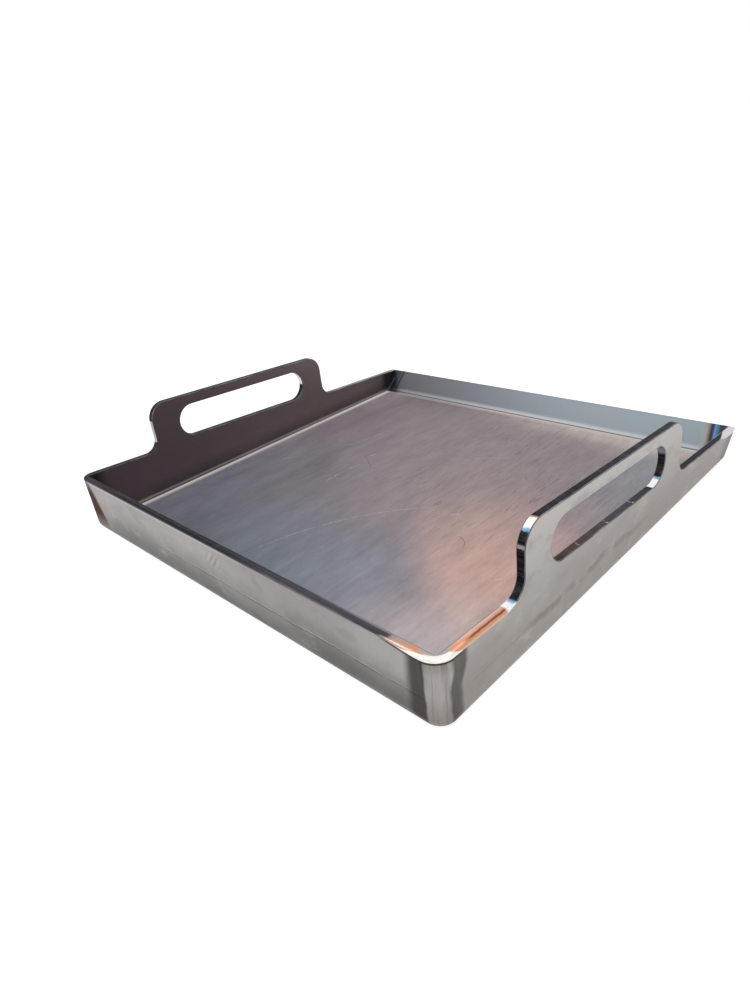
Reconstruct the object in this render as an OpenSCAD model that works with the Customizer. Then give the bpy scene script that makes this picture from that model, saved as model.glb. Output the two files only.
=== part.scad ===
// Camp griddle plate: a square steel cooking tray with a tall front wall, a low
// sloping back lip, and two side walls whose upper edges carry cut-out handles.
// Millimetres, +Z up. The origin is on the underside, below the middle of the plan;
// +X points to the right handle wall and +Y to the back lip.

/* [Tray] */
// Outside width over the two handle walls
tray_w = 350; // [260:1:480]
// Length over the rim, from the front wall's outer face to the lip's inner edge
rim_l = 350; // [300:1:480]
// Height of the rim at the front wall, above the underside
front_h = 44.5; // [34:0.5:70]
// Height of the back lip's inner edge, above the underside
lip_h = 23; // [18:0.5:32]
// Slope of the back lip above the level
lip_angle = 48; // [40:1:70]

/* [Plate] */
// Thickness of the steel plate
plate_t = 5; // [3:0.5:8]
// Inside radius at the foot of each wall
bend_r = 3; // [1:0.5:5]
// How much larger the ground front corners are than the outside of the foot's bend
corner_blend = 2.5; // [1:0.5:8]

/* [Handles] */
// Length of each handle along its wall
handle_l = 179; // [150:1:200]
// From the front wall's outer face to the near side of each handle
handle_setback = 66.5; // [45:0.5:85]
// Height of each handle above the rim
handle_rise = 38.5; // [36:0.5:60]
// Radius of a handle's upper corners
handle_corner_r = 14; // [4:0.5:20]
// Radius of the fillets at the foot of a handle
handle_fillet_r = 10.5; // [4:0.5:20]
// Length of the finger slot, over its round ends
slot_l = 132; // [90:1:140]
// Height of the finger slot
slot_h = 26; // [20:0.5:31]
// Height of the slot's lower edge above the rim
slot_lift = 4; // [0:0.5:5]

/* [Welds] */
// Land of full contact left above the weld under each edge of the base plate
seam_land = 2; // [1:0.25:2.5]
// Eased upper edge of the base plate, which leaves a fine line along each seam
seam_ease = 0.5; // [0.2:0.1:0.8]

/* [Hidden] */
$fn = 96;

plate_colour = "#8c8789";
wall_colour = "#a39f9b";
weld_colour = "#77716c";

// Outside radius of the bend at the foot of each wall
foot_r = plate_t + bend_r;
// Outside radius of the two front corners, seen from above
corner_r = foot_r + corner_blend;
// Whole length, from the front wall to the outer edge of the sloping lip
tray_l = rim_l + plate_t * sin(lip_angle);
front_y = -tray_l / 2;
// Straight part of the lip, along its slope, and the line where its bend starts
lip_run = (lip_h - foot_r + bend_r * cos(lip_angle)) / sin(lip_angle);
lip_y = tray_l / 2 - foot_r * sin(lip_angle) - lip_run * cos(lip_angle);

// The rim falls from the front wall to the lip
rim_slope = atan((front_h - lip_h) / rim_l);
rim_up = [sin(rim_slope), cos(rim_slope)];

// Handle, along its wall
handle_near = front_y + handle_setback;
handle_far = handle_near + handle_l;
handle_mid = (handle_near + handle_far) / 2;

// Base plate between the feet of the walls
base_half_x = tray_w / 2 - foot_r;
base_half_y = (lip_y - front_y - foot_r) / 2;
base_mid_y = (lip_y + front_y + foot_r) / 2;
weld_d = plate_t - seam_land;
// How far the cuts along the base plate's edges reach past it
cut_past = plate_t;

// Edges of the base plate, counted anticlockwise from the front
FRONT = 0;
RIGHT = 1;
BACK = 2;
LEFT = 3;

// Larger than the tray, for cutting tools that only need to reach past it
reach = 2 * (tray_w + tray_l);

// Height of the rim over a place along the tray
function rim_z(y) = front_h - (y - front_y) * tan(rim_slope);

// Point above the rim at place y, lifted square to the rim
function over_rim(y, lift) = [y, rim_z(y) + lift / cos(rim_slope)];

// Everything above the plane of the rim
module above_rim() {
    translate([-reach / 2, front_y, front_h])
        rotate([-rim_slope, 0, 0])
            translate([0, -reach / 2, 0])
                cube(reach);
}

// Section of a wall and the bend at its foot, centred on the bend
module wall_section(height) {
    difference() {
        intersection() {
            union() {
                circle(foot_r);
                square([foot_r, height]);
            }
            translate([0, -foot_r])
                square([foot_r, height]);
        }
        circle(bend_r);
        square([bend_r, height]);
    }
}

// Open space inside a wall and its bend, centred on the bend, the wall on the right
module inside_section() {
    translate([-reach, 0])
        square([reach + bend_r, reach]);
    translate([-reach, -bend_r])
        square([reach, reach]);
    circle(bend_r);
}

// Finger slot with round ends, parallel to the rim
module finger_slot() {
    end = (slot_l - slot_h) / 2;
    translate(over_rim(handle_mid, slot_lift + slot_h / 2))
        rotate(-rim_slope) {
            square([2 * end, slot_h], center = true);
            for (side = [-1, 1])
                translate([side * end, 0])
                    circle(slot_h / 2);
        }
}

// Side of a handle wall, drawn with the front on the left. Straight lines join the
// tangent points of its rounds; the rounds are then added or cut.
module handle_wall_outline() {
    wall_start = front_y + corner_r;
    // The wall ends on the slope that runs up from the lip's bend
    lip_rise = tan(lip_angle);
    rim_fall = tan(rim_slope);
    wall_end = (rim_z(0) - foot_r + lip_y * lip_rise) / (lip_rise + rim_fall);
    // Centres of the fillets at the handle's foot and of its upper corners
    near_foot = over_rim(handle_near - handle_fillet_r, handle_fillet_r);
    far_foot = over_rim(handle_far + handle_fillet_r, handle_fillet_r);
    near_top = over_rim(handle_near + handle_corner_r, handle_rise - handle_corner_r);
    far_top = over_rim(handle_far - handle_corner_r, handle_rise - handle_corner_r);
    difference() {
        union() {
            polygon([
                [wall_start, 0],
                [lip_y, 0],
                [lip_y, foot_r],
                [wall_end, rim_z(wall_end)],
                far_foot - handle_fillet_r * rim_up,
                [handle_far, far_foot[1]],
                [handle_far, far_top[1]],
                far_top + handle_corner_r * rim_up,
                near_top + handle_corner_r * rim_up,
                [handle_near, near_top[1]],
                [handle_near, near_foot[1]],
                near_foot - handle_fillet_r * rim_up,
                [wall_start, rim_z(wall_start)]
            ]);
            for (centre = [near_top, far_top])
                translate(centre)
                    circle(handle_corner_r);
        }
        for (centre = [near_foot, far_foot])
            translate(centre)
                circle(handle_fillet_r);
        finger_slot();
    }
}

// Right side wall with its handle, and the bend along its foot
module handle_wall() {
    intersection() {
        translate([base_half_x, 0, foot_r])
            rotate([90, 0, 0])
                linear_extrude(reach, center = true)
                    wall_section(front_h + 2 * handle_rise);
        rotate([90, 0, 90])
            linear_extrude(tray_w)
                handle_wall_outline();
    }
}

// Ground weld that closes the right front corner, rounded at its foot as well
module front_corner() {
    difference() {
        translate([tray_w / 2 - corner_r, front_y + corner_r, 0])
            rotate([0, 0, -90])
                rotate_extrude(angle = 90)
                    difference() {
                        square([corner_r, front_h]);
                        translate([corner_blend, 0])
                            difference() {
                                square(foot_r);
                                translate([0, foot_r])
                                    circle(foot_r);
                            }
                    }
        intersection() {
            translate([0, front_y + foot_r, foot_r])
                rotate([90, 0, -90])
                    linear_extrude(reach, center = true)
                        inside_section();
            translate([base_half_x, 0, foot_r])
                rotate([90, 0, 0])
                    linear_extrude(reach, center = true)
                        inside_section();
        }
        base_block();
        above_rim();
    }
}

// Quarter round of the back corner welds, with a sharp inside
module lip_corner_section() {
    difference() {
        intersection() {
            circle(foot_r);
            square(foot_r);
        }
        square(bend_r);
    }
}

// Ground weld that closes the right back corner: it runs down the lip's slope from the
// rim, then turns back with the lip's bend
module back_corner() {
    difference() {
        translate([base_half_x, lip_y, foot_r])
            rotate([lip_angle, 0, 0]) {
                rotate([-90, 0, 0])
                    linear_extrude(lip_run)
                        lip_corner_section();
                rotate([0, 90, 0])
                    rotate_extrude(angle = -lip_angle)
                        lip_corner_section();
            }
        above_rim();
    }
}

// Room of the base plate, before its edges are prepared
module base_block() {
    translate([-base_half_x, base_mid_y - base_half_y, 0])
        cube([2 * base_half_x, 2 * base_half_y, plate_t]);
}

// Carries a section along one edge of the base plate, its x pointing into the plate
module along_edge(edge, past = 0) {
    across = edge % 2 == 0;
    translate([0, base_mid_y, 0])
        rotate([0, 0, 90 * edge])
            translate([0, across ? -base_half_y : -base_half_x, 0])
                rotate([90, 0, 90])
                    linear_extrude(2 * ((across ? base_half_x : base_half_y) + past), center = true)
                        children();
}

// Triangle that a bevel takes off an edge, reaching past both of the edge's faces
module bevel_section(depth, past = 0) {
    polygon([[depth + past, -past], [-past, depth + past], [-past, -past]]);
}

// Weld in the bevel under one edge of the base plate, ground flush with the underside
module edge_weld(edge, past = 0) {
    along_edge(edge, past)
        bevel_section(weld_d);
}

// Room that the weld under one edge takes, reaching past the plate
module edge_weld_cut(edge) {
    along_edge(edge, cut_past)
        bevel_section(weld_d, cut_past);
}

// A side weld stops against the welds of the front and back edges
module side_edge_weld(edge) {
    difference() {
        edge_weld(edge, cut_past);
        edge_weld_cut(FRONT);
        edge_weld_cut(BACK);
    }
}

module base_plate() {
    color(plate_colour)
        difference() {
            base_block();
            for (edge = [FRONT, RIGHT, BACK, LEFT]) {
                edge_weld_cut(edge);
                along_edge(edge, cut_past)
                    translate([0, plate_t])
                        mirror([0, 1])
                            bevel_section(seam_ease, cut_past);
            }
        }
}

module front_wall() {
    color(wall_colour)
        difference() {
            translate([0, front_y + foot_r, foot_r])
                rotate([90, 0, -90])
                    linear_extrude(tray_w - 2 * corner_r, center = true)
                        wall_section(front_h);
            above_rim();
        }
}

module back_lip() {
    lip_w = 2 * base_half_x;
    color(wall_colour)
        translate([0, lip_y, foot_r])
            rotate([lip_angle, 0, 0]) {
                translate([-lip_w / 2, 0, -foot_r])
                    cube([lip_w, lip_run, plate_t]);
                rotate([0, 90, 0])
                    rotate_extrude(angle = -lip_angle)
                        translate([bend_r, -lip_w / 2])
                            square([plate_t, lip_w]);
            }
}

module right_handle_wall() {
    color(wall_colour)
        handle_wall();
}

module left_handle_wall() {
    mirror([1, 0, 0])
        right_handle_wall();
}

module front_right_corner_weld() {
    color(weld_colour)
        front_corner();
}

module front_left_corner_weld() {
    mirror([1, 0, 0])
        front_right_corner_weld();
}

module back_right_corner_weld() {
    color(weld_colour)
        back_corner();
}

module back_left_corner_weld() {
    mirror([1, 0, 0])
        back_right_corner_weld();
}

module front_seam_weld() {
    color(weld_colour)
        edge_weld(FRONT);
}

module back_seam_weld() {
    color(weld_colour)
        edge_weld(BACK);
}

module left_seam_weld() {
    color(weld_colour)
        side_edge_weld(LEFT);
}

module right_seam_weld() {
    color(weld_colour)
        side_edge_weld(RIGHT);
}

base_plate();
front_wall();
back_lip();
left_handle_wall();
right_handle_wall();
front_left_corner_weld();
front_right_corner_weld();
back_left_corner_weld();
back_right_corner_weld();
front_seam_weld();
back_seam_weld();
left_seam_weld();
right_seam_weld();
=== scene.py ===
"""Looks of the camp griddle plate: eased plates, ground welds and steel finishes around its frame."""

import logging
import math
from collections.abc import Mapping, Sequence
from dataclasses import dataclass
from enum import Enum, IntEnum
from typing import Any

import bmesh
import bpy
import numpy as np
from mathutils import Matrix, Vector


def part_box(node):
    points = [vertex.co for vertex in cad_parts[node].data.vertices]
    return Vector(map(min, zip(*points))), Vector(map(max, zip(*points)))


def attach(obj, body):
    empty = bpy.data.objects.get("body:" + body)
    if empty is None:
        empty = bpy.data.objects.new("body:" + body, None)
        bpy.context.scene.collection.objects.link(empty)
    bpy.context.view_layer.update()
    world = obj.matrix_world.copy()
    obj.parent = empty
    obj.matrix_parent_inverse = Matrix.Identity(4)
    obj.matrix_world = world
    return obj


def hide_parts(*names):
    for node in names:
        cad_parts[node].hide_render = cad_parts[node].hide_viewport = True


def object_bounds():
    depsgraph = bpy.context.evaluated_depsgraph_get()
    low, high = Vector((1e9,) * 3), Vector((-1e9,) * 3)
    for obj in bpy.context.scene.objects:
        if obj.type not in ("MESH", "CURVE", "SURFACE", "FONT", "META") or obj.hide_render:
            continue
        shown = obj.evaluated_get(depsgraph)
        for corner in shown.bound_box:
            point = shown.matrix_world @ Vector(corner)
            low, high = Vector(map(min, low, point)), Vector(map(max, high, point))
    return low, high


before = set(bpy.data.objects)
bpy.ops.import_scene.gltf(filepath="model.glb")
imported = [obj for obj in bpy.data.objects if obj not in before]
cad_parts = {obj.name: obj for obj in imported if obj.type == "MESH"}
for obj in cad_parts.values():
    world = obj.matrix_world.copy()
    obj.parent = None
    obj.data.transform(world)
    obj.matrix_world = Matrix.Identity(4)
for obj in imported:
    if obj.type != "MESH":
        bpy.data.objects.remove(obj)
CAD_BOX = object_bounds()

log = logging.getLogger("griddle")

BODY = "root"

# Sizes in metres, angles in radians
LIP_ANGLE = math.radians(48)
LIP_SIN = math.sin(LIP_ANGLE)
LIP_COS = math.cos(LIP_ANGLE)
EASE_R = 0.0005
ARC_STEPS = 14
EASE_STEPS = 6
# Points closer than this are one point of a mesh
WELD_GAP = 2e-6
SHARP_ANGLE = math.radians(32)
# Power of the superellipse that draws a weld's inside corner nearly square
INSIDE_POWER = 14
# Share of a painted line's or speck's half width that has its full strength
LINE_CORE = 0.35
SPECK_CORE = 0.4
BUMP_STRENGTH = 0.6

Point = tuple[float, float, float]
Colour = tuple[float, float, float, float]
# Masks from 0 to 1, each with the colour that shows there
Coats = tuple[tuple[Any, Any], ...]


class Side(Enum):
    """The two handle walls, by the sign of their X."""

    LEFT = -1
    RIGHT = 1

    @property
    def word(self) -> str:
        """The side's name as the nodes spell it."""
        return self.name.lower()


class Surface(IntEnum):
    """The surfaces of a plate or weld, in the order of its material slots."""

    OUTSIDE = 0
    INSIDE = 1
    EDGE = 2
    EASE = 3


def tone(red: int, green: int, blue: int) -> Colour:
    """A colour written as on a screen, from 0 to 255, made linear.

    Args:
        red, green, blue: the screen values.

    Returns:
        The linear colour with full opacity.
    """
    screen = np.array([red, green, blue]) / 255
    linear = np.where(screen <= 0.04045, screen / 12.92, ((screen + 0.055) / 1.055) ** 2.4)
    return (*linear.tolist(), 1.0)


# Sizes

@dataclass(frozen=True)
class CornerGrind:
    """How the rim's outer edge was ground round at the front right corner."""

    radius: float = 0.0023
    front_start: float = 0.1385
    front_full: float = 0.1600
    side_full: float = -0.1265
    side_end: float = -0.1195

    def side_radius(self, y: np.ndarray) -> np.ndarray:
        """Radius of the right rim's outer edge at places along Y."""
        share = np.clip((self.side_end - y) / (self.side_end - self.side_full), 0, 1)
        return EASE_R + (self.radius - EASE_R) * share

    def stations(self, end: float) -> list[tuple[float, float]]:
        """Places along X of the front rim, each with the radius of its outer edge."""
        plain = [(x, EASE_R) for x in (-end, self.front_start)]
        return plain + [(x, self.radius) for x in (self.front_full, end)]


@dataclass(frozen=True)
class Tray:
    """Sizes of the tray, read from the frame."""

    half_w: float
    front_y: float
    back_y: float
    plate_t: float
    seam_x: float
    seam_front: float
    seam_back: float
    corner_r: float
    front_h: float
    lip_h: float
    wall_end: float
    weld_d: float
    grind: CornerGrind = CornerGrind()

    @classmethod
    def from_frame(cls) -> "Tray":
        """Reads the sizes from the boxes of the CAD nodes.

        Returns:
            The tray's sizes.
        """
        low, high = CAD_BOX
        plate_low, plate_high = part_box("base_plate")
        wall_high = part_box("front_wall")[1]
        return cls(
            half_w=high.x,
            front_y=low.y,
            back_y=high.y,
            plate_t=plate_high.z,
            seam_x=plate_high.x,
            seam_front=plate_low.y,
            seam_back=plate_high.y,
            corner_r=high.x - wall_high.x,
            front_h=wall_high.z,
            lip_h=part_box("back_lip")[1].z,
            wall_end=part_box("right_handle_wall")[1].y,
            weld_d=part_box("front_seam_weld")[1].z,
        )

    @property
    def handle(self) -> "Handle":
        """Sizes of the two handles."""
        return Handle(self)

    @property
    def foot_r(self) -> float:
        """Outside radius of the bend at the foot of each wall."""
        return self.half_w - self.seam_x

    @property
    def bend_r(self) -> float:
        """Inside radius of that bend."""
        return self.foot_r - self.plate_t

    @property
    def corner_x(self) -> float:
        """Distance along X of the front corners' upright axes from the middle."""
        return self.half_w - self.corner_r

    @property
    def wall_start(self) -> float:
        """Place along Y where a front corner ends and a handle wall starts."""
        return self.front_y + self.corner_r

    @property
    def rim_fall(self) -> float:
        """Tangent of the slope by which the rim falls towards the lip."""
        return (self.front_h - self.lip_h) / (self.back_y - self.front_y - self.plate_t * LIP_SIN)

    @property
    def lip_run(self) -> float:
        """Length of the lip's slope, from its bend to its square end."""
        return (self.lip_h - self.foot_r + self.bend_r * LIP_COS) / LIP_SIN

    def rim_z(self, y: Any) -> Any:
        """Height of the rim at y, a number, an array or a shader value."""
        return self.front_h - (y - self.front_y) * self.rim_fall


@dataclass(frozen=True)
class Handle:
    """Sizes of a cut-out handle, along its wall and above the rim."""

    tray: Tray
    length: float = 0.179
    setback: float = 0.0665
    rise: float = 0.03849
    corner_r: float = 0.014
    fillet_r: float = 0.0105
    slot_l: float = 0.132
    slot_h: float = 0.026
    slot_lift: float = 0.004
    # Places along Y of small nicks in the slot's lower edge
    slot_nicks: tuple[float, ...] = (-0.0576, -0.026, 0.005)

    @property
    def near(self) -> float:
        """Place along Y of the handle's near side."""
        return self.tray.front_y + self.setback

    @property
    def far(self) -> float:
        """Place along Y of the handle's far side."""
        return self.near + self.length

    @property
    def along(self) -> np.ndarray:
        """Direction of the rim towards the back, as y and z."""
        return unit(np.array([1, -self.tray.rim_fall]))

    @property
    def up(self) -> np.ndarray:
        """Direction square to the rim, as y and z."""
        return unit(np.array([self.tray.rim_fall, 1]))

    def over_rim(self, y: float, lift: float) -> np.ndarray:
        """Point at y that lies lift away from the rim, measured square to it."""
        return np.array([y, self.tray.rim_z(y) + lift * math.hypot(1, self.tray.rim_fall)])

    def upper_corner(self) -> tuple[float, float]:
        """Centre of the near upper corner's arc, as y and z."""
        y, z = self.over_rim(self.near + self.corner_r, self.rise - self.corner_r)
        return float(y), float(z)

    def slot_middle(self) -> np.ndarray:
        """Middle of the finger slot, as y and z."""
        return self.over_rim((self.near + self.far) / 2, self.slot_lift + self.slot_h / 2)

    def slot_end(self) -> tuple[float, float]:
        """Centre of the slot's round far end, as y and z."""
        y, z = self.slot_middle() + self.along * (self.slot_l - self.slot_h) / 2
        return float(y), float(z)


# Surfaces as arrays

def unit(vectors: np.ndarray) -> np.ndarray:
    """The vectors, each scaled to length 1."""
    return vectors / np.linalg.norm(vectors, axis=-1, keepdims=True)


def quarter(steps: int) -> np.ndarray:
    """Evenly spaced angles from 0 to a quarter turn."""
    return np.linspace(0, np.pi / 2, steps)


def ease_profile() -> tuple[np.ndarray, np.ndarray]:
    """An eased edge of radius 1, from face to rim: depths below the rim, 1 - sine, and insets, 1 - cosine."""
    turn = quarter(EASE_STEPS)
    return 1 - np.sin(turn), 1 - np.cos(turn)


def rounded(corners: Sequence[Sequence[float]], radii: Sequence[float], merge: bool = True) -> np.ndarray:
    """Rounds the corners of a closed outline.

    Each corner gives way to an arc that touches both of its sides. The arc's centre lies on the corner's
    bisector, r / sin(half angle) away, and its points turn evenly from one tangent point to the other.

    Args:
        corners: the outline's corners in order.
        radii: one radius for each corner, 0 for a sharp one.
        merge: whether points that fall together become one.

    Returns:
        The outline's points, ARC_STEPS for each corner before merging.
    """
    corner = np.asarray(corners, float)
    radius = np.asarray(radii, float)[:, None]
    back = unit(np.roll(corner, 1, 0) - corner)
    ahead = unit(np.roll(corner, -1, 0) - corner)
    bisector = unit(back + ahead)
    half = np.arccos(np.clip((back * bisector).sum(1), -1, 1))[:, None]
    centre = corner + bisector * radius / np.sin(half)
    reach = radius / np.tan(half)
    first = (corner + back * reach - centre)[:, None]
    last = (corner + ahead * reach - centre)[:, None]
    turn = (np.pi - 2 * half)[:, None]
    share = np.linspace(0, 1, ARC_STEPS)[None, :, None]
    arc = (np.sin((1 - share) * turn) * first + np.sin(share * turn) * last) / np.sin(turn)
    points = (centre[:, None] + arc).reshape(-1, 2)
    apart = np.linalg.norm(points - np.roll(points, 1, 0), axis=1) > WELD_GAP
    return points[apart] if merge else points


def inset_directions(path: np.ndarray, closed: bool) -> np.ndarray:
    """How each point of a path moves when the path is inset to its left by 1.

    A point moves along the sum of its two sides' normals, divided by 1 plus their dot product.

    Args:
        path: points of the path, one per row.
        closed: whether the last point joins the first.

    Returns:
        One vector for each point.
    """
    side = unit(np.roll(path, -1, 0) - path)
    normal = np.stack([-side[:, 1], side[:, 0]], 1)
    if not closed:
        normal[-1] = normal[-2]
    before = np.roll(normal, 1, 0)
    if not closed:
        before[0] = normal[0]
    return (normal + before) / (1 + (normal * before).sum(1, keepdims=True))


def upright(points: np.ndarray, x: Any) -> np.ndarray:
    """Points of the YZ plane, set at x, a number or an array with a value for each point."""
    return np.concatenate([np.broadcast_to(x, points.shape[:-1])[..., None], points], -1)


def inside_square(angle: np.ndarray) -> np.ndarray:
    """Distance to a nearly square corner of half side 1: the superellipse (cos^p + sin^p)^(-1/p)."""
    power = INSIDE_POWER
    return (np.abs(np.cos(angle)) ** power + np.abs(np.sin(angle)) ** power) ** (-1 / power)


class Shell:
    """Collects the surfaces of one piece and joins them into a closed mesh."""

    def __init__(self, name: str) -> None:
        """Starts an empty piece.

        Args:
            name: the piece's name.
        """
        self.name = name
        self.points: list[np.ndarray] = []
        self.faces: list[list[int]] = []
        self.surfaces: list[int] = []
        self.count = 0

    def _add(self, points: np.ndarray) -> np.ndarray:
        """Adds points.

        Args:
            points: the points, in an array of any shape.

        Returns:
            Their indices.
        """
        flat = points.reshape(-1, 3)
        self.points.append(flat)
        self.count += len(flat)
        return np.arange(self.count - len(flat), self.count)

    def grid(self, points: np.ndarray, surface: Surface, wrap: bool = False) -> None:
        """Adds a grid of points as quads.

        Args:
            points: rows by columns of points.
            surface: the surface that the quads belong to.
            wrap: whether the last column joins the first.
        """
        index = self._add(points).reshape(points.shape[:2])
        if wrap:
            index = np.hstack([index, index[:, :1]])
        quads = np.stack([index[:-1, :-1], index[:-1, 1:], index[1:, 1:], index[1:, :-1]], -1).reshape(-1, 4)
        self.faces += quads.tolist()
        self.surfaces += [int(surface)] * len(quads)

    def cap(self, loop: np.ndarray, surface: Surface) -> None:
        """Adds one flat face with these points in order."""
        self.faces.append(self._add(loop).tolist())
        self.surfaces.append(int(surface))

    def build(self, materials: Sequence[bpy.types.Material]) -> bpy.types.Object:
        """Joins the surfaces where their points meet and turns all faces outwards.

        Args:
            materials: one material for each Surface.

        Returns:
            The finished piece, linked to the scene.
        """
        mesh = bpy.data.meshes.new(self.name)
        mesh.from_pydata(np.concatenate(self.points), [], self.faces)
        mesh.polygons.foreach_set("material_index", self.surfaces)
        joined = bmesh.new()
        joined.from_mesh(mesh)
        bmesh.ops.remove_doubles(joined, verts=joined.verts, dist=WELD_GAP)
        bmesh.ops.recalc_face_normals(joined, faces=joined.faces)
        open_edges = sum(not edge.is_manifold for edge in joined.edges)
        joined.to_mesh(mesh)
        joined.free()
        for material in materials:
            mesh.materials.append(material)
        mesh.polygons.foreach_set("use_smooth", np.ones(len(mesh.polygons), bool))
        mesh.set_sharp_from_angle(angle=SHARP_ANGLE)
        piece = bpy.data.objects.new(self.name, mesh)
        bpy.context.scene.collection.objects.link(piece)
        soften = piece.modifiers.new("even_shading", "WEIGHTED_NORMAL")
        soften.keep_sharp = True
        log.info("%s: %d faces, %d open edges", self.name, len(mesh.polygons), open_edges)
        return piece


# Shader expressions

class Value:
    """A shader socket that takes part in Python arithmetic."""

    def __init__(self, graph: "Graph", socket: bpy.types.NodeSocket) -> None:
        """Wraps an output socket of graph."""
        self.graph = graph
        self.socket = socket

    def _math(self, operation: str, first: Any, second: Any = 0.0) -> "Value":
        """Adds a Math node on two values."""
        return self.graph.node("ShaderNodeMath", {"operation": operation}, {0: first, 1: second})

    def __add__(self, other: Any) -> "Value":
        """self + other"""
        return self._math("ADD", self, other)

    __radd__ = __add__

    def __sub__(self, other: Any) -> "Value":
        """self - other"""
        return self._math("SUBTRACT", self, other)

    def __rsub__(self, other: Any) -> "Value":
        """other - self"""
        return self._math("SUBTRACT", other, self)

    def __mul__(self, other: Any) -> "Value":
        """self * other"""
        return self._math("MULTIPLY", self, other)

    __rmul__ = __mul__

    def __truediv__(self, other: Any) -> "Value":
        """self / other"""
        return self._math("DIVIDE", self, other)

    def __rtruediv__(self, other: Any) -> "Value":
        """other / self"""
        return self._math("DIVIDE", other, self)

    def __pow__(self, other: Any) -> "Value":
        """self ** other"""
        return self._math("POWER", self, other)

    def __rpow__(self, other: Any) -> "Value":
        """other ** self"""
        return self._math("POWER", other, self)

    def __neg__(self) -> "Value":
        """-self"""
        return 0.0 - self

    def __abs__(self) -> "Value":
        """Size of self without its sign."""
        return self._math("ABSOLUTE", self)

    def most(self, other: Any) -> "Value":
        """The larger of self and other."""
        return self._math("MAXIMUM", self, other)

    def step(self, start: float, end: float) -> "Value":
        """Eases from 0 to 1 as self goes from start to end, in either direction.

        Args:
            start: where the result is still 0.
            end: where it reaches 1.

        Returns:
            The eased value.
        """
        return self.graph.node(
            "ShaderNodeMapRange",
            {"interpolation_type": "SMOOTHSTEP"},
            {"Value": self, "From Min": start, "From Max": end},
        )

    def band(self, start: float, full: float, last: float, end: float) -> "Value":
        """Eases from 0 at start to 1 at full, stays 1 up to last and eases back to 0 at end."""
        return self.step(start, full) * self.step(end, last)

    def blend(self, low: float, high: float) -> "Value":
        """Stretches 0 to 1 into low to high."""
        return self * (high - low) + low

    def line(self, at: Any, half: float) -> "Value":
        """1 on the line where self equals at, easing to 0 at half its width away."""
        return abs(self - at).step(half, half * LINE_CORE)


class Graph:
    """A node tree that is written as expressions."""

    def __init__(self, tree: bpy.types.NodeTree) -> None:
        """Takes over the tree and empties it."""
        tree.nodes.clear()
        self.tree = tree

    def node(
        self,
        kind: str,
        settings: Mapping[str, Any] | None = None,
        inputs: Mapping[Any, Any] | None = None,
        output: int | str = 0,
    ) -> Value:
        """Adds one node.

        Args:
            kind: the node's type.
            settings: its own settings, set first; stops sets a colour ramp.
            inputs: values or links of its sockets, by name or number.
            output: which output to return.

        Returns:
            The chosen output.
        """
        made = self.tree.nodes.new(kind)
        for name, setting in (settings or {}).items():
            if name == "stops":
                self._set_stops(made.color_ramp, setting)
            else:
                setattr(made, name, setting)
        for name, value in (inputs or {}).items():
            self._feed(made.inputs[name], value)
        return Value(self, made.outputs[output] if made.outputs else None)

    def _feed(self, socket: bpy.types.NodeSocket, value: Any) -> None:
        """Links a Value to a socket, or sets a constant on it.

        Args:
            socket: the input socket.
            value: the Value or the constant.
        """
        if isinstance(value, Value):
            self.tree.links.new(value.socket, socket)
        else:
            socket.default_value = value

    @staticmethod
    def _set_stops(ramp: bpy.types.ColorRamp, stops: Sequence[tuple[float, Colour]]) -> None:
        """Gives a colour ramp its stops.

        Args:
            ramp: the new ramp.
            stops: a place from 0 to 1 and a colour for each.
        """
        while len(ramp.elements) < len(stops):
            ramp.elements.new(1.0)
        for element, (place, colour) in zip(ramp.elements, stops):
            element.position = place
            element.color = colour

    def mix(self, share: Any, first: Any, second: Any, blend: str = "MIX") -> Value:
        """Mixes two colours, with share for how much of the second one shows."""
        settings = {"data_type": "RGBA", "blend_type": blend, "clamp_result": False}
        return self.node("ShaderNodeMix", settings, {0: share, 6: first, 7: second}, 2)

    def coat(self, colour: Any, *coats: tuple[Any, Any]) -> Value:
        """Lays coats of colour over a first one.

        Args:
            colour: the colour below them.
            coats: the coats, from the lowest up.

        Returns:
            The colour on top.
        """
        for share, over in coats:
            colour = self.mix(share, colour, over)
        return colour


# Finishes: steps, lines and bands are in metres on the tray, and noise scales are features per metre

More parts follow.
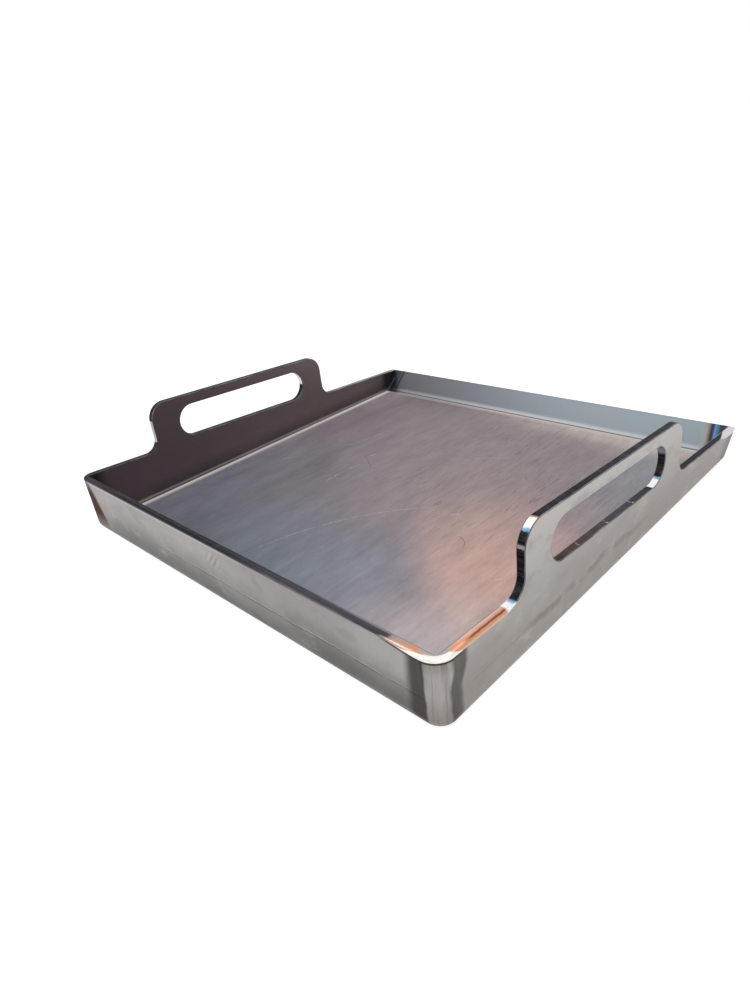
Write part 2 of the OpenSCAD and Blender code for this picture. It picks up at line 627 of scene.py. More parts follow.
class SteelPaint(Graph):
    """A finish of the tray's steel, painted by each point's place on the tray."""

    name: str

    def __init__(self, tray: Tray) -> None:
        """Starts the material and paints it.

        Args:
            tray: the tray's sizes.
        """
        self.tray = tray
        self.material = bpy.data.materials.new(self.name)
        self.material.use_nodes = True
        super().__init__(self.material.node_tree)
        self.where = self.node("ShaderNodeTexCoord", output="Object")
        split = self.tree.nodes.new("ShaderNodeSeparateXYZ")
        self._feed(split.inputs[0], self.where)
        self.x, self.y, self.z = (Value(self, socket) for socket in split.outputs)
        self.paint()

    def paint(self) -> None:
        """Paints the material, each finish in its own way."""
        raise NotImplementedError

    def scaled(self, scale: Point, shift: Point = (0, 0, 0)) -> Value:
        """The coordinates, multiplied by scale and then shifted."""
        settings = {"operation": "MULTIPLY_ADD"}
        return self.node("ShaderNodeVectorMath", settings, {0: self.where, 1: scale, 2: shift})

    def noise(
        self, scale: Point, shift: Point = (0, 0, 0), detail: float = 3.0, rough: float = 0.55
    ) -> Value:
        """Soft noise from 0 to 1, moved by shift, with detail finer layers that are rough times as strong."""
        inputs = {"Vector": self.scaled(scale, shift), "Scale": 1.0, "Detail": detail, "Roughness": rough}
        return self.node("ShaderNodeTexNoise", None, inputs)

    def wander(self, reach: float, scale: Point, shift: Point = (0, 0, 0), detail: float = 3.0) -> Value:
        """Soft noise about 0 that spans reach from its lowest to its highest."""
        return (self.noise(scale, shift, detail) - 0.5) * reach

    def specks(self, scale: float, size: float) -> Value:
        """Small round specks, scale of them per metre and size in shares of their spacing, 1 inside."""
        inputs = {"Vector": self.scaled((scale,) * 3), "Scale": 1.0}
        return self.node("ShaderNodeTexVoronoi", None, inputs).step(size, size * SPECK_CORE)

    @staticmethod
    def distance(across: Value, along: Value) -> Value:
        """Length of a vector with these two parts."""
        return (across * across + along * along) ** 0.5

    def plan_distance(self, x: float, y: float) -> Value:
        """Distance from an upright line at x and y."""
        return self.distance(self.x - x, self.y - y)

    def turn(self, up: Value, along: Value) -> Value:
        """Angle in radians of the direction that goes along and up."""
        return self.node("ShaderNodeMath", {"operation": "ARCTAN2"}, {0: up, 1: along})

    def below_rim(self) -> Value:
        """How far a point lies below the rim."""
        return self.tray.rim_z(self.y) - self.z

    @staticmethod
    def join(*masks: Value) -> Value:
        """The largest of several masks.

        Args:
            masks: the masks.

        Returns:
            Their union.
        """
        found = masks[0]
        for mask in masks[1:]:
            found = found.most(mask)
        return found

    def lighten(self, colour: Value, amount: Value) -> Value:
        """Multiplies a colour by a grey value."""
        return self.node("ShaderNodeVectorMath", {"operation": "SCALE"}, {0: colour, "Scale": amount})

    def finish(
        self, colour: Value, roughness: Value, metallic: Any, height: Value, depth: float, gloss: float = 0.5
    ) -> None:
        """Joins the expressions to a Principled shader.

        Args:
            colour: the base colour.
            roughness: the roughness.
            metallic: the share of bare metal.
            height: the surface's relief, from 0 to 1.
            depth: how deep the relief is, in metres.
            gloss: how strongly the part that isn't bare metal mirrors.
        """
        relief = {"Strength": BUMP_STRENGTH, "Distance": depth, "Height": height}
        inputs = {
            "Base Color": colour,
            "Roughness": roughness,
            "Metallic": metallic,
            "Specular IOR Level": gloss,
            "Normal": self.node("ShaderNodeBump", None, relief),
        }
        shader = self.node("ShaderNodeBsdfPrincipled", None, inputs)
        self.node("ShaderNodeOutputMaterial", None, {"Surface": shader})


@dataclass(frozen=True)
class Scratch:
    """A scratch on the cooking plate: an arc through three points of its plan, in metres."""

    start: tuple[float, float]
    middle: tuple[float, float]
    end: tuple[float, float]
    width: float
    # Where it is gone and where it is whole, away from its middle in shares of half its length
    gone: float = 1.1
    whole: float = 0.75

    def circle(self) -> tuple[float, float, float]:
        """Finds the circle through the three points.

        Its centre is equally far from all three, which gives two linear equations.

        Returns:
            The centre's x and y, and the radius.
        """
        first, second, third = np.array([self.start, self.middle, self.end])
        sides = 2 * np.stack([second - first, third - first])
        squares = np.array([second @ second - first @ first, third @ third - first @ first])
        centre = np.linalg.solve(sides, squares)
        return float(centre[0]), float(centre[1]), float(np.linalg.norm(first - centre))

    def mask(self, paint: SteelPaint) -> Value:
        """Where the scratch shows.

        Args:
            paint: the finish that it is in.

        Returns:
            1 along the scratch, fading out at its ends, and 0 elsewhere.
        """
        x, y, radius = self.circle()
        half = math.dist(self.start, self.end) / 2
        near = paint.plan_distance(*self.middle).step(half * self.gone, half * self.whole)
        return paint.plan_distance(x, y).line(radius, self.width / 2) * near


class CookingSteel(SteelPaint):
    """Rolled cooking surface: streaks along Y, bluish at the front left, with a warm painted reflection
    beside the right handle, painted light beside the walls and towards the lip, and painted highlights along
    its left and back edges.
    """

    name = "cooking_steel"
    cool: Colour = tone(108, 109, 118)
    blue: Colour = tone(114, 122, 135)
    middle: Colour = tone(143, 130, 135)
    # Colour of the warm painted reflection beside the right handle
    warm: Colour = tone(204, 166, 153)
    pale: Colour = tone(184, 171, 165)
    # Paler colour of the painted reflection of the lip
    grey: Colour = tone(182, 173, 173)
    # Painted highlights along the left edge and along the back edge
    edge: Colour = tone(250, 244, 240)
    land: Colour = tone(250, 234, 226)
    scratch: Colour = tone(212, 208, 208)
    line: Colour = tone(70, 64, 66)
    # Factors on red, green and blue of the cool painted reflection behind the right handle
    slot_reflection_tint: Colour = (0.83, 1.02, 1.04, 1.0)
    # Centre and reach of the warm painted reflection beside the right handle
    warm_place: tuple[float, float] = (0.150, -0.045)
    warm_reach: float = 0.166
    worn_place: tuple[float, float] = (0.05, 0.055)
    gain: float = 0.84
    scratches: tuple[Scratch, ...] = (
        Scratch((-0.0300, -0.1309), (-0.0069, -0.0688), (0.0446, -0.0123), 0.0009),
        Scratch((-0.0645, -0.0307), (-0.0644, -0.012), (-0.0626, 0.0067), 0.0014),
        Scratch((-0.0674, 0.0233), (-0.0654, 0.0258), (-0.0642, 0.0290), 0.0012),
        Scratch((-0.1318, -0.0216), (-0.1288, -0.0158), (-0.1247, -0.0107), 0.0012),
        Scratch((0.0548, -0.0210), (0.0574, -0.0181), (0.0595, -0.0160), 0.0014),
        Scratch((0.1232, -0.0700), (0.1262, -0.0668), (0.1285, -0.0640), 0.0009),
        Scratch((-0.100, 0.030), (-0.094, 0.052), (-0.091, 0.078), 0.0008),
        Scratch((0.010, 0.058), (0.024, 0.070), (0.042, 0.078), 0.0007),
    )
    dark_marks: tuple[Scratch, ...] = (
        Scratch((-0.0730, 0.0230), (-0.0603, 0.0150), (-0.0468, 0.0051), 0.0008),
        Scratch((0.0774, -0.0392), (0.0842, -0.0425), (0.0882, -0.0482), 0.0010),
    )

    def paint(self) -> None:
        """Paints the tint, the painted light, the rolled grain, roll dents with painted shade and highlights,
        scratches and painted highlights along the left and back edges.
        """
        tray = self.tray
        streaks = self.noise((420, 9, 1), detail=4, rough=0.62)
        broad = self.noise((70, 5, 1), (5, 2, 0))
        dashes = self.noise((560, 60, 1), (1, 7, 0), detail=2)
        patina = self.noise((95, 34, 1), (2, 6, 0), detail=4, rough=0.68)
        grain = 0.72 + streaks * 0.18 + broad * 0.28 + (dashes - 0.5) * 0.17 + (patina - 0.5) * 0.66
        colour = self.lighten(self.tint(), grain * self.gain)
        # Painted light beside the walls, towards the lip and at the front
        colour = self.lighten(colour, self.light())
        worn = self.noise((16, 12, 1), (8, 8, 0)).step(0.34, 0.6)
        worn = worn * self.plan_distance(*self.worn_place).step(0.15, 0.05)
        # Roll dents: painted shade in each dent and a painted highlight just beside it
        flecks = self.dents(0.0) * worn
        lit = self.dents(0.0006) * worn * (1 - flecks)
        colour = self.lighten(colour, 1 - flecks * 0.29 + lit * 0.25)
        broken = self.noise((240, 240, 1), (4, 4, 0)).step(0.36, 0.56)
        specks = self.specks(170, 0.07)
        bright = self.join(*(scratch.mask(self) for scratch in self.scratches)) * broken * 0.38 + specks * 0.4
        dark = self.join(*(mark.mask(self) for mark in self.dark_marks))
        # Painted highlight along the left edge by the wall, and a paler one along the back edge by the lip
        edge = (-self.x).step(tray.seam_x - 0.0065, tray.seam_x + 0.0002) ** 1.3
        back = self.y.step(tray.seam_back - 0.0042, tray.seam_back + 0.0004)
        coats = ((bright, self.scratch), (dark * 0.5, self.line), (edge, self.edge), (back * 0.36, self.land))
        roughness = 0.44 + streaks * 0.12 - broad * 0.06 - bright * 0.1
        height = streaks * 0.5 + dashes * 0.35 - flecks * 0.5 + lit * 0.3 + specks * 0.3
        self.finish(self.coat(colour, *coats), roughness, 0.5 - edge * 0.5, height, 0.00004)

    def dents(self, shift: float) -> Value:
        """Short dashes along Y that the rolls left, 1 inside, moved along X by shift."""
        scale = (430, 52, 1)
        return self.noise(scale, (1 + shift * scale[0], 7, 0), detail=2, rough=0.5).step(0.56, 0.64)

    def light(self) -> Value:
        """Painted light: how much lighter the plate is painted beside the walls, towards the lip and at the
        front, and a little darker at the back left.

        Returns:
            A factor on the colour.
        """
        x, y = self.x, self.y
        back = y.step(0.0, 0.10)
        start = 0.14 - back * 0.010
        beside = ((-x - start) / (0.17 - start)).step(0.0, 1.0) * 1.3
        broad = (-x).step(0.098, 0.142) * (1 - back) * 0.72
        dull = y.step(0.0, 0.06) * x.step(-0.05, -0.10) * 0.12
        rear = y.step(0.13, self.tray.seam_back) * x.step(-0.09, 0.08).blend(0.15, 0.65)
        fore = y.step(-0.03, -0.145) * x.step(-0.02, 0.04) * 0.3
        by_slot = x.step(0.112, 0.132) * y.line(0.0, 0.06) * 0.13
        return beside + broad - dull + rear + fore + by_slot + y.step(0.06, -0.04) * 0.08 + 1.0

    def tint(self) -> Value:
        """The surface's colour without its streaks and marks, with a warm painted reflection beside the right
        handle, a paler painted reflection towards the lip and a cool one behind the right handle.

        Returns:
            The colour.
        """
        tray, x, y = self.tray, self.x, self.y
        spread = x * 0.75 + y * 0.62 + self.wander(0.12, (7, 7, 7))
        # Warm painted reflection, strongest near warm_place
        heat = self.plan_distance(*self.warm_place) + self.wander(0.04, (9, 5, 1), (3, 1, 0))
        fore = y + (x - 0.1) * 0.9
        behind = y + (x - 0.1)
        glow = heat.step(self.warm_reach, 0.01) * fore.step(-0.125, -0.075) * behind.step(0.075, -0.045)
        glow = glow.most(self.plan_distance(0.04, 0.02).step(0.09, 0.0) * 0.14)
        colour = self.coat(
            self.mix(spread.step(-0.2, 0.05), self.cool, self.middle),
            (y.step(-0.03, -0.12) * abs(x).step(0.15, 0.02) * 0.8, self.blue),
            (glow * 0.88, self.warm),
            (self.plan_distance(tray.half_w, tray.front_y).step(0.13, 0.035) * 0.85, self.grey),
            # Paler towards the lip: painted reflection of the lip
            (y.step(0.11, tray.seam_back) * x.step(-0.1, 0.08) * 0.7, self.pale),
        )
        # Cool painted reflection where the plate shows behind the right handle
        by_slot = x.step(0.112, 0.132) * y.band(0.0, 0.09, 0.126, 0.142)
        return self.mix(by_slot, colour, self.slot_reflection_tint, "MULTIPLY")


class OuterSteel(SteelPaint):
    """What the outer faces share: the marks that welding and grinding left at the corners, and dark bands of
    painted reflection beside the front right one.
    """

    dark_brown: Colour = tone(46, 38, 35)
    rust: Colour = tone(76, 50, 38)
    ground: Colour = tone(200, 196, 198)

    def marks(self, rusty: Value) -> Coats:
        """The marks, and the dark bands of painted reflection.

        Args:
            rusty: where the rust smudge shows.

        Returns:
            Their coats.
        """
        band, patch = self.back_grind()
        return (
            # Dark bands of painted reflection beside the front right corner
            (self.corner_reflection_bands(), self.dark_brown),
            (rusty, self.rust),
            (self.ground_edge_dark_line() * 0.9, self.dark_brown),
            (band * 0.5, self.dark_brown),
            (patch, self.ground),
        )

    def corner_reflection_bands(self) -> Value:
        """The two dark bands of painted reflection on both sides of the front right corner.

        Returns:
            How dark they are, from 0 to 1.
        """
        wander = self.wander(0.004, (20, 20, 70), (1, 9, 4), detail=1)
        streak = 0.8 + self.noise((300, 300, 12), (3, 1, 5)) * 0.35
        across = self.x - self.tray.corner_x + wander
        front = across.band(-0.0115, -0.0055, 0.0004, 0.0022) * self.y.step(-0.165, -0.1725)
        along = self.y - self.tray.wall_start + wander
        lean = self.z.step(0.022, 0.038)
        side = (along - lean * 0.003).step(-0.0042, -0.002) * (along - lean * 0.0055).step(0.0062, 0.0026)
        return self.join(front * 0.92, side * self.x.step(0.168, 0.1735) * 0.75) * streak

    def rust_smudge(self) -> Value:
        """The brown smudge on the front left corner, which leans with its height.

        Returns:
            How strong it is, from 0 to 1.
        """
        across = self.x + self.tray.half_w - 0.0186 - (self.tray.front_h - 0.0045 - self.z) * 0.42
        patchy = self.noise((260, 260, 90), (6, 6, 1)).step(0.2, 0.5).blend(0.78, 1.0)
        wide = across.step(0.0006, -0.0055) * self.x.step(-0.1730, -0.1680) * self.y.step(-0.160, -0.168)
        return wide * self.z.band(0.003, 0.020, 0.033, 0.050) * patchy

    def ground_edge_dark_line(self) -> Value:
        """The thin dark line that follows the lower side of the ground front edge.

        Returns:
            1 on the line, 0 away from it.
        """
        grind, x = self.tray.grind, self.x
        depth = self.below_rim() - x.step(grind.front_start, grind.front_full) * (grind.radius - EASE_R)
        fade = x.step(grind.front_start, grind.front_start + 0.008) * self.y.step(-0.157, -0.162)
        return depth.line(EASE_R + 0.0006, 0.0009) * fade

    def back_grind(self) -> tuple[Value, Value]:
        """Marks of grinding at the back right corner, in the lip's own directions.

        Returns:
            The streaked band along the corner and the bright patch below the rim, each from 0 to 1.
        """
        right = self.x.step(0.16, 0.165)
        along = self.y - self.tray.seam_back
        up = self.z - self.tray.foot_r
        place = {"W": (along * LIP_COS + up * LIP_SIN) * 900, "Scale": 1.0}
        streak = self.node("ShaderNodeTexNoise", {"noise_dimensions": "1D"}, place)
        band = (along * LIP_SIN - up * LIP_COS).step(-0.0105, -0.006) * right * streak.blend(0.4, 1.0)
        depth = self.y.step(0.1396, 0.156) * 0.0029
        patch = (depth - self.below_rim()).step(0.0, 0.0005) * right * self.y.step(0.1394, 0.1402)
        return band, patch


class MillSteel(OuterSteel):
    """Outside of the front wall and the lip: warm grey rolled steel, cloudy, darker towards the foot by a
    painted reflection, with the bending die's mark.
    """

    name = "front_mill_steel"
    # Colours of the painted reflection, lighter at the top and darker towards the foot
    upper: Colour = tone(156, 153, 152)
    lower: Colour = tone(96, 93, 92)
    cloud: Colour = tone(178, 175, 170)
    shade: Colour = tone(116, 108, 104)
    sheen: Colour = tone(170, 170, 164)
    stained: Colour = tone(108, 100, 90)
    mark: float = 1.0
    stain: float = 0.0
    mottle: float = 0.3
    mark_z: float = 0.0195
    # Heights where the painted reflection reaches its upper and its lower colour
    upper_z: float = 0.036
    lower_z: float = 0.008
    # X and Z of the rub on the front wall
    scuff_place: tuple[float, float] = (0.002, 0.0335)

    def paint(self) -> None:
        """Paints the painted reflection that darkens towards the foot, clouds, patches, the rub, the die mark
        with a painted highlight above it, the stain, the painted shade and highlight below the rim and the
        marks.
        """
        x, front_y = self.x, self.tray.front_y
        clouds = self.noise((16, 16, 30), detail=2.0)
        patches = self.noise((40, 40, 70), (2, 5, 1), detail=4, rough=0.6)
        fine = self.noise((520, 520, 60), (7, 3, 2))
        # Painted reflection: from upper at the top to lower towards the foot
        height = self.z + (clouds - 0.5) * 0.008
        colour = self.coat(
            self.mix(height.step(self.lower_z, self.upper_z), self.lower, self.upper),
            (clouds.step(0.46, 0.72) * 0.25, self.cloud),
            (patches.step(0.5, 0.7) * self.mottle, self.shade),
            (patches.step(0.46, 0.30) * self.mottle, self.sheen),
        )
        dull = x.line(0.065, 0.075) * self.mark * 0.15
        colour = self.lighten(colour, 0.94 + fine * 0.12 + self.scuff() * self.mark * 0.4 - dull)
        line = self.die_mark(0.0) * self.mark
        # The die's mark, a dark line with a painted highlight along its upper side
        colour = self.coat(
            self.lighten(colour, 1 - line * 0.34),
            (self.die_mark(0.0008) * self.mark * 0.35, self.cloud),
            (self.smear() * self.stain, self.stained),
        )
        below = self.below_rim()
        shadow = below.step(0.0018, 0.0007) * x.step(0.14, 0.02).blend(0.2, 0.78)
        light = below.line(0.0019, 0.0009) * x.step(0.07, 0.0) * 0.3
        front = self.y.step(front_y + 0.0012, front_y + 0.0004)
        rusty = self.rust_smudge()
        colour = self.coat(self.lighten(colour, 1 + (light - shadow) * front), *self.marks(rusty))
        roughness = 0.34 + clouds * 0.16 + fine * 0.06 + line * 0.1 + rusty * 0.35
        self.finish(colour, roughness, 0.85, fine * 0.4 + clouds * 0.5 - line * 0.8, 0.00005)

    def die_mark(self, lift: float) -> Value:
        """The faint wavering line that the bending die left along the walls.

        Args:
            lift: moves the line up.

        Returns:
            1 on the line, 0 away from it.
        """
        waver = self.wander(0.0028, (60, 60, 4), (3, 3, 0), detail=4)
        waver = waver + self.wander(0.0012, (420, 420, 4), (1, 6, 0))
        worn = self.noise((45, 45, 4), (9, 2, 0), detail=5).step(0.34, 0.52)
        return (self.z + waver).line(self.mark_z + lift, 0.0006) * worn * self.x.step(-0.09, -0.05)

    def smear(self) -> Value:
        """The broken stain along the die mark.

        Returns:
            How strong it is, from 0 to 1.
        """
        waver = self.wander(0.012, (30, 30, 4), (5, 1, 0), detail=4)
        broken = self.noise((48, 48, 30), (1, 4, 2)).step(0.36, 0.54)
        return (self.z + waver).line(self.mark_z, 0.0032) * broken * self.y.band(-0.118, -0.096, 0.0, 0.03)

    def scuff(self) -> Value:
        """The small feathered rub in the middle of the front wall.

        Returns:
            How much it lightens the face, from -0.5 to 0.5.
        """
        x, z = self.scuff_place
        across, up = self.x - x, self.z - z
        near = ((across * across * 0.5 + up * up) ** 0.5).step(0.0075, 0.002)
        wave = {"Vector": self.scaled((120, 0, -110)), "Scale": 1.0, "Distortion": 3.0, "Detail": 2.0}
        feather = self.node("ShaderNodeTexWave", {"bands_direction": "DIAGONAL"}, wave, 1)
        return (feather - 0.5) * near


class SideMill(MillSteel):
    """Outside of the handle walls: the same steel, paler, with a stain along a fainter die mark."""

    name = "side_mill_steel"
    # Colours of the painted reflection on the side walls
    upper = tone(176, 173, 171)
    lower = tone(139, 132, 128)
    shade = tone(140, 132, 127)
    mark = 0.3
    stain = 0.5
    mottle = 0.5
    lower_z = 0.006
    upper_z = 0.08


class GroundWeld(OuterSteel):
    """Weld metal ground round: pale, with grinding streaks down the corner."""

    name = "ground_weld"
    pale: Colour = tone(160, 155, 152)
    streak: Colour = tone(108, 101, 97)
    # Darker tone: smudges at the top, and darker towards the foot and on the left corner's side
    smudge: Colour = tone(92, 82, 76)
    dark_brown = tone(44, 37, 34)

    def paint(self) -> None:
        """Paints the streaks, smudges at the top, a darker tone towards the foot and on the left corner's
        side, and the marks.
        """
        front_h = self.tray.front_h
        streaks = self.noise((620, 620, 26), detail=4, rough=0.65)
        broad = self.noise((170, 170, 14), (5, 1, 2))
        shade = streaks.step(0.42, 0.72) * 0.5 + broad.step(0.5, 0.75) * 0.25
        top = self.z.step(front_h - 0.012, front_h - 0.003) * broad.step(0.3, 0.62)
        # Darker towards the foot
        foot = self.z.step(0.024, 0.006)
        rusty = self.rust_smudge()
        # Darker on the left corner's side
        left = self.x.step(-0.165, -0.171) * self.y.step(0.0, -0.1) * 0.45
        colour = self.coat(
            self.mix(shade, self.pale, self.streak),
            (top * 0.75 + foot * 0.4, self.smudge),
            *self.marks(rusty),
            (left, self.smudge),
        )
        roughness = 0.36 + streaks * 0.2 + rusty * 0.3
        self.finish(colour, roughness, 0.85, streaks * 0.7 + broad * 0.3, 0.00007)


class DarkSteel(SteelPaint):
    """Inside of the walls: dark brown-grey rolled scale, a little lighter towards the back."""

    name = "dark_steel"
    near: Colour = tone(62, 53, 56)
    far: Colour = tone(86, 76, 77)
    # Painted shade towards the foot of the walls
    foot: Colour = tone(33, 29, 31)
    plum: Colour = tone(72, 54, 58)
    # Painted shade at the walls' ends, by the front wall and the lip
    black: Colour = tone(24, 25, 25)
    # Colour of the painted highlights along the foot
    glow: Colour = tone(250, 245, 243)
    gain: float = 2.1

    def paint(self) -> None:
        """Paints the scale, painted shade towards the foot and at the ends, a faint painted highlight above
        the foot and a bright one along the left foot.
        """
        tray, y = self.tray, self.y
        clouds = self.noise((18, 18, 30), (1, 2, 3))
        fine = self.noise((80, 80, 640), (2, 2, 5))
        colour = self.coat(
            self.mix(y.step(tray.front_y, tray.back_y), self.near, self.far),
            # Painted shade towards the foot
            (self.z.step(0.021, tray.plate_t) * 0.8, self.foot),
            (clouds.step(0.48, 0.66) * 0.35, self.plum),
        )
        colour = self.lighten(colour, (0.86 + clouds * 0.16 + fine * 0.12) * self.gain)
        # Painted shade at the front and back ends
        front = y.step(tray.front_y + 0.020, tray.front_y + 0.010)
        ends = front.most(y.step(tray.seam_back - 0.008, tray.seam_back + 0.002))
        # Painted highlights: a faint line on the bend above the foot and a bright one along the left foot
        level = self.z - tray.plate_t
        lit = level.step(0.00042, 0.00002) * self.x.step(0.0, -0.1)
        coats = ((ends * 0.85, self.black), (level.line(0.0019, 0.0011) * 0.09, self.glow), (lit, self.glow))
        relief = fine * 0.5 + clouds * 0.5
        self.finish(self.coat(colour, *coats), 0.36 + clouds * 0.12, 0.7 - lit * 0.7, relief, 0.00003)


class LipSteel(SteelPaint):
    """Inside of the lip: blue-grey, partly a painted reflection of the sky, paler to the right, with the
    colours of welding heat at both ends.
    """

    name = "lip_steel"
    # Left and right colours, blue-grey partly from a painted reflection of the sky
    left: Colour = tone(106, 104, 110)
    right: Colour = tone(158, 169, 177)
    # Pale painted highlight on the bend at the foot
    foot: Colour = tone(226, 222, 221)
    weld: Colour = tone(232, 232, 234)
    # Painted highlight along the land below the crease
    land: Colour = tone(202, 191, 187)
    # Heat colours by share of heat_reach away from the side wall
    right_heat: tuple[tuple[float, Colour], ...] = (
        (0.0, tone(84, 84, 86)),
        (0.2, tone(62, 66, 70)),
        (0.28, tone(78, 124, 146)),
        (0.36, tone(90, 142, 170)),
        (0.42, tone(126, 160, 192)),
        (0.48, tone(58, 84, 146)),
        (0.56, tone(56, 46, 88)),
        (0.63, tone(128, 116, 100)),
        (0.74, tone(170, 167, 160)),
        (1.0, tone(168, 181, 187)),
    )
    left_heat: tuple[tuple[float, Colour], ...] = (
        (0.0, tone(58, 58, 62)),
        (0.12, tone(62, 64, 72)),
        (0.3, tone(72, 74, 86)),
        (0.5, tone(72, 74, 88)),
        (0.57, tone(100, 98, 115)),
        (0.63, tone(60, 58, 80)),
        (0.69, tone(44, 44, 64)),
        (0.76, tone(104, 106, 100)),
        (1.0, tone(106, 106, 110)),
    )
    heat_reach: float = 0.0175
    # How far the left weld bead lies from the tray's side
    bead_in: float = 0.0066
    gain: float = 0.46

    def paint(self) -> None:
        """Paints the slope, the crease with its painted shade and the pale painted highlights at its foot,
        the heat at its ends and the left bead.
        """
        tray, x, z = self.tray, self.x, self.z
        clouds = self.noise((14, 14, 40), (4, 1, 6))
        fine = self.noise((900, 60, 60), (1, 2, 9))
        across = x + (clouds - 0.5) * 0.05
        colour = self.mix(across.step(-0.19, 0.17), self.left, self.right)
        colour = self.lighten(colour, 0.88 + clouds * 0.08 + fine * 0.08 + z.step(0.008, tray.lip_h) * 0.12)
        level = z - tray.plate_t
        # Painted light at the foot: a pale strip on the bend, painted shade in the crease and a bright line
        # below it
        low = level.step(0.0044, 0.0020) * x.step(-0.15, 0.05).blend(0.32, 0.47)
        under = level.step(0.0006, 0.00025)
        crease = level.line(0.00085, 0.0005)
        colour = self.lighten(self.mix(low, colour, self.foot), 1 - crease * 0.62 + under * 1.1)
        share = self.heat_share()
        ramps = (self.node("ShaderNodeValToRGB", {"stops": stops}, {0: share})
                 for stops in (self.left_heat, self.right_heat))
        kept = level.step(0.004, 0.0015) * x.step(0.0, -0.1) * 0.45
        bead = (x + tray.half_w - self.bead_in - level * 0.13).line(0.0, 0.0009)
        colour = self.coat(
            colour,
            (share.step(1.0, 0.8) * (1 - kept), self.mix(x.step(-0.01, 0.01), *ramps)),
            (bead * z.step(0.018, 0.014), self.weld),
        )
        colour = self.lighten(colour, clouds.blend(self.gain - 0.02, self.gain + 0.02))
        # Painted highlight along the land where the lip meets the plate
        colour = self.mix(under * x.band(-0.1, 0.0, 0.125, 0.155), colour, self.land)
        self.finish(colour, 0.32 + clouds * 0.14, 0.88, fine * 0.5 + clouds * 0.5, 0.00003)

    def heat_share(self) -> Value:
        """Distance from the nearer side wall as a share of heat_reach, leaning with the height.

        Returns:
            0 at the wall and 1 where the heat colours end.
        """
        wander = self.wander(0.0016, (60, 60, 60), (2, 8, 1))
        lean = (self.z - 0.014) * self.x.step(-0.01, 0.01).blend(-0.14, -0.17)
        return (self.tray.half_w - self.tray.plate_t - abs(self.x) + lean + wander) / self.heat_reach


class CutEdge(SteelPaint):
    """Edges left by the cutting torch: nearly black, with striations across the plate."""

    striations: Point
    wear: float = 1.0
    gloss: float = 0.04
    dark: Colour = tone(18, 18, 23)
    light: Colour = tone(86, 84, 92)
    pale: Colour = tone(174, 166, 165)
    copper: Colour = tone(204, 146, 120)
    glint: Colour = tone(250, 252, 254)
    ground: Colour = tone(206, 201, 204)

    def paint(self) -> None:
        """Paints striations and mottle, then what the heat and the light left."""
        lines = self.noise(self.striations, detail=4, rough=0.7)
        mottle = self.noise((230, 230, 230), (3, 3, 3))
        shade = lines.step(0.4, 0.75) * 0.4 + mottle.step(0.48, 0.75) * 0.35
        colour = self.coat(self.mix(shade * self.wear, self.dark, self.light), *self.coats())
        self.finish(colour, 0.34 + lines * 0.25, 0.06, lines, 0.00006, self.gloss)

    def coats(self) -> Coats:
        """Heat colours and glints, which a plain edge lacks."""
        return ()


class LipCut(CutEdge):
    """The lip's rim."""

    name = "lip_cut_edge"
    striations = (900, 40, 40)


class FrontCut(CutEdge):
    """The front rim, with heat colours towards the right corner."""

    name = "front_cut_edge"
    striations = (900, 40, 40)
    wear = 0.7
    gloss = 0.015
    salmon: Colour = tone(178, 152, 148)
    rust: Colour = tone(86, 46, 58)

    def coats(self) -> Coats:
        """Streaks along the rim, a rusty spot at the left and the heat colours at the right.

        Returns:
            Their coats.
        """
        x = self.x
        share = (self.y - self.tray.front_y) / self.tray.plate_t
        streak = self.noise((26, 900, 26), (2, 4, 0)).step(0.46, 0.62)
        wander = self.wander(0.008, (300, 300, 300), (1, 8, 2))
        place = x + wander
        return (
            (self.join(streak * 0.4, share.line(0.55, 0.3) * 0.3), self.light),
            (x.step(0.0, 0.08) * 0.5, self.light),
            (share.step(0.6, 0.2) * x.step(0.03, -0.02) * 0.6, self.dark),
            (share.step(0.6, 1.0) * x.step(0.08, 0.14) * 0.8, self.pale),
            (place.line(-0.145, 0.009) * share.step(0.75, 0.5) * 0.7, self.rust),
            (x.step(-0.150, -0.156) * 0.2, self.light),
            ((place - share * 0.004).step(0.1415, 0.1455), self.salmon),
            (place.step(0.150, 0.159), self.copper),
            ((x + wander * 0.3).step(0.1590, 0.1640), self.pale),
        )


class CornerCut(CutEdge):
    """The front corners' rim: dark at the left, an ivory crescent at the right."""

    name = "corner_cut_edge"
    striations = (700, 700, 40)
    ivory: Colour = tone(246, 242, 234)

    def coats(self) -> Coats:
        """The right corner, with the crescent along its outer edge."""
        bright = self.plan_distance(self.tray.corner_x, self.tray.wall_start).step(0.0078, 0.0084)
        return ((self.x.step(-0.01, 0.01), self.mix(bright, self.pale, self.ivory)),)


class SideCut(CutEdge):
    """Edges of a handle wall."""

    striations = (40, 900, 900)
    wear = 0.9

    def slot_turn(self) -> tuple[Value, Value]:
        """Where a point lies on the round far end of the finger slot.

        Returns:
            Its angle round that end's centre, 0 straight below it, and 1 for points on the slot's edge.
        """
        handle = self.tray.handle
        y, z = handle.slot_end()
        away = self.distance(self.y - y, self.z - z)
        return self.turn(self.y - y, z - self.z), away.step(handle.slot_h * 0.52, handle.slot_h * 0.51)


class LeftCut(SideCut):
    """Edges of the left wall, pale where its near side and far rim face the light."""

    name = "left_cut_edge"

    def coats(self) -> Coats:
        """The painted glints: pale stretches on the near side and the far rim, and a glint on the slot's far
        end.

        Returns:
            Their coats.
        """
        handle = self.tray.handle
        z = handle.upper_corner()[1]
        near_side = (self.y - handle.near).band(-0.003, -0.0015, 0.0012, 0.0022)
        strip = near_side * self.z.band(z - 0.017, z - 0.0155, z + 0.0005, z + 0.002)
        turn, on_slot = self.slot_turn()
        return (
            # Painted glints, in the ground colour, on the near side and the far rim
            (strip * 0.85, self.ground),
            (self.y.step(handle.far, handle.far + 0.03) * 0.4, self.ground),
            (turn.band(1.4, 1.55, 2.6, 2.95) * on_slot, self.glint),
        )


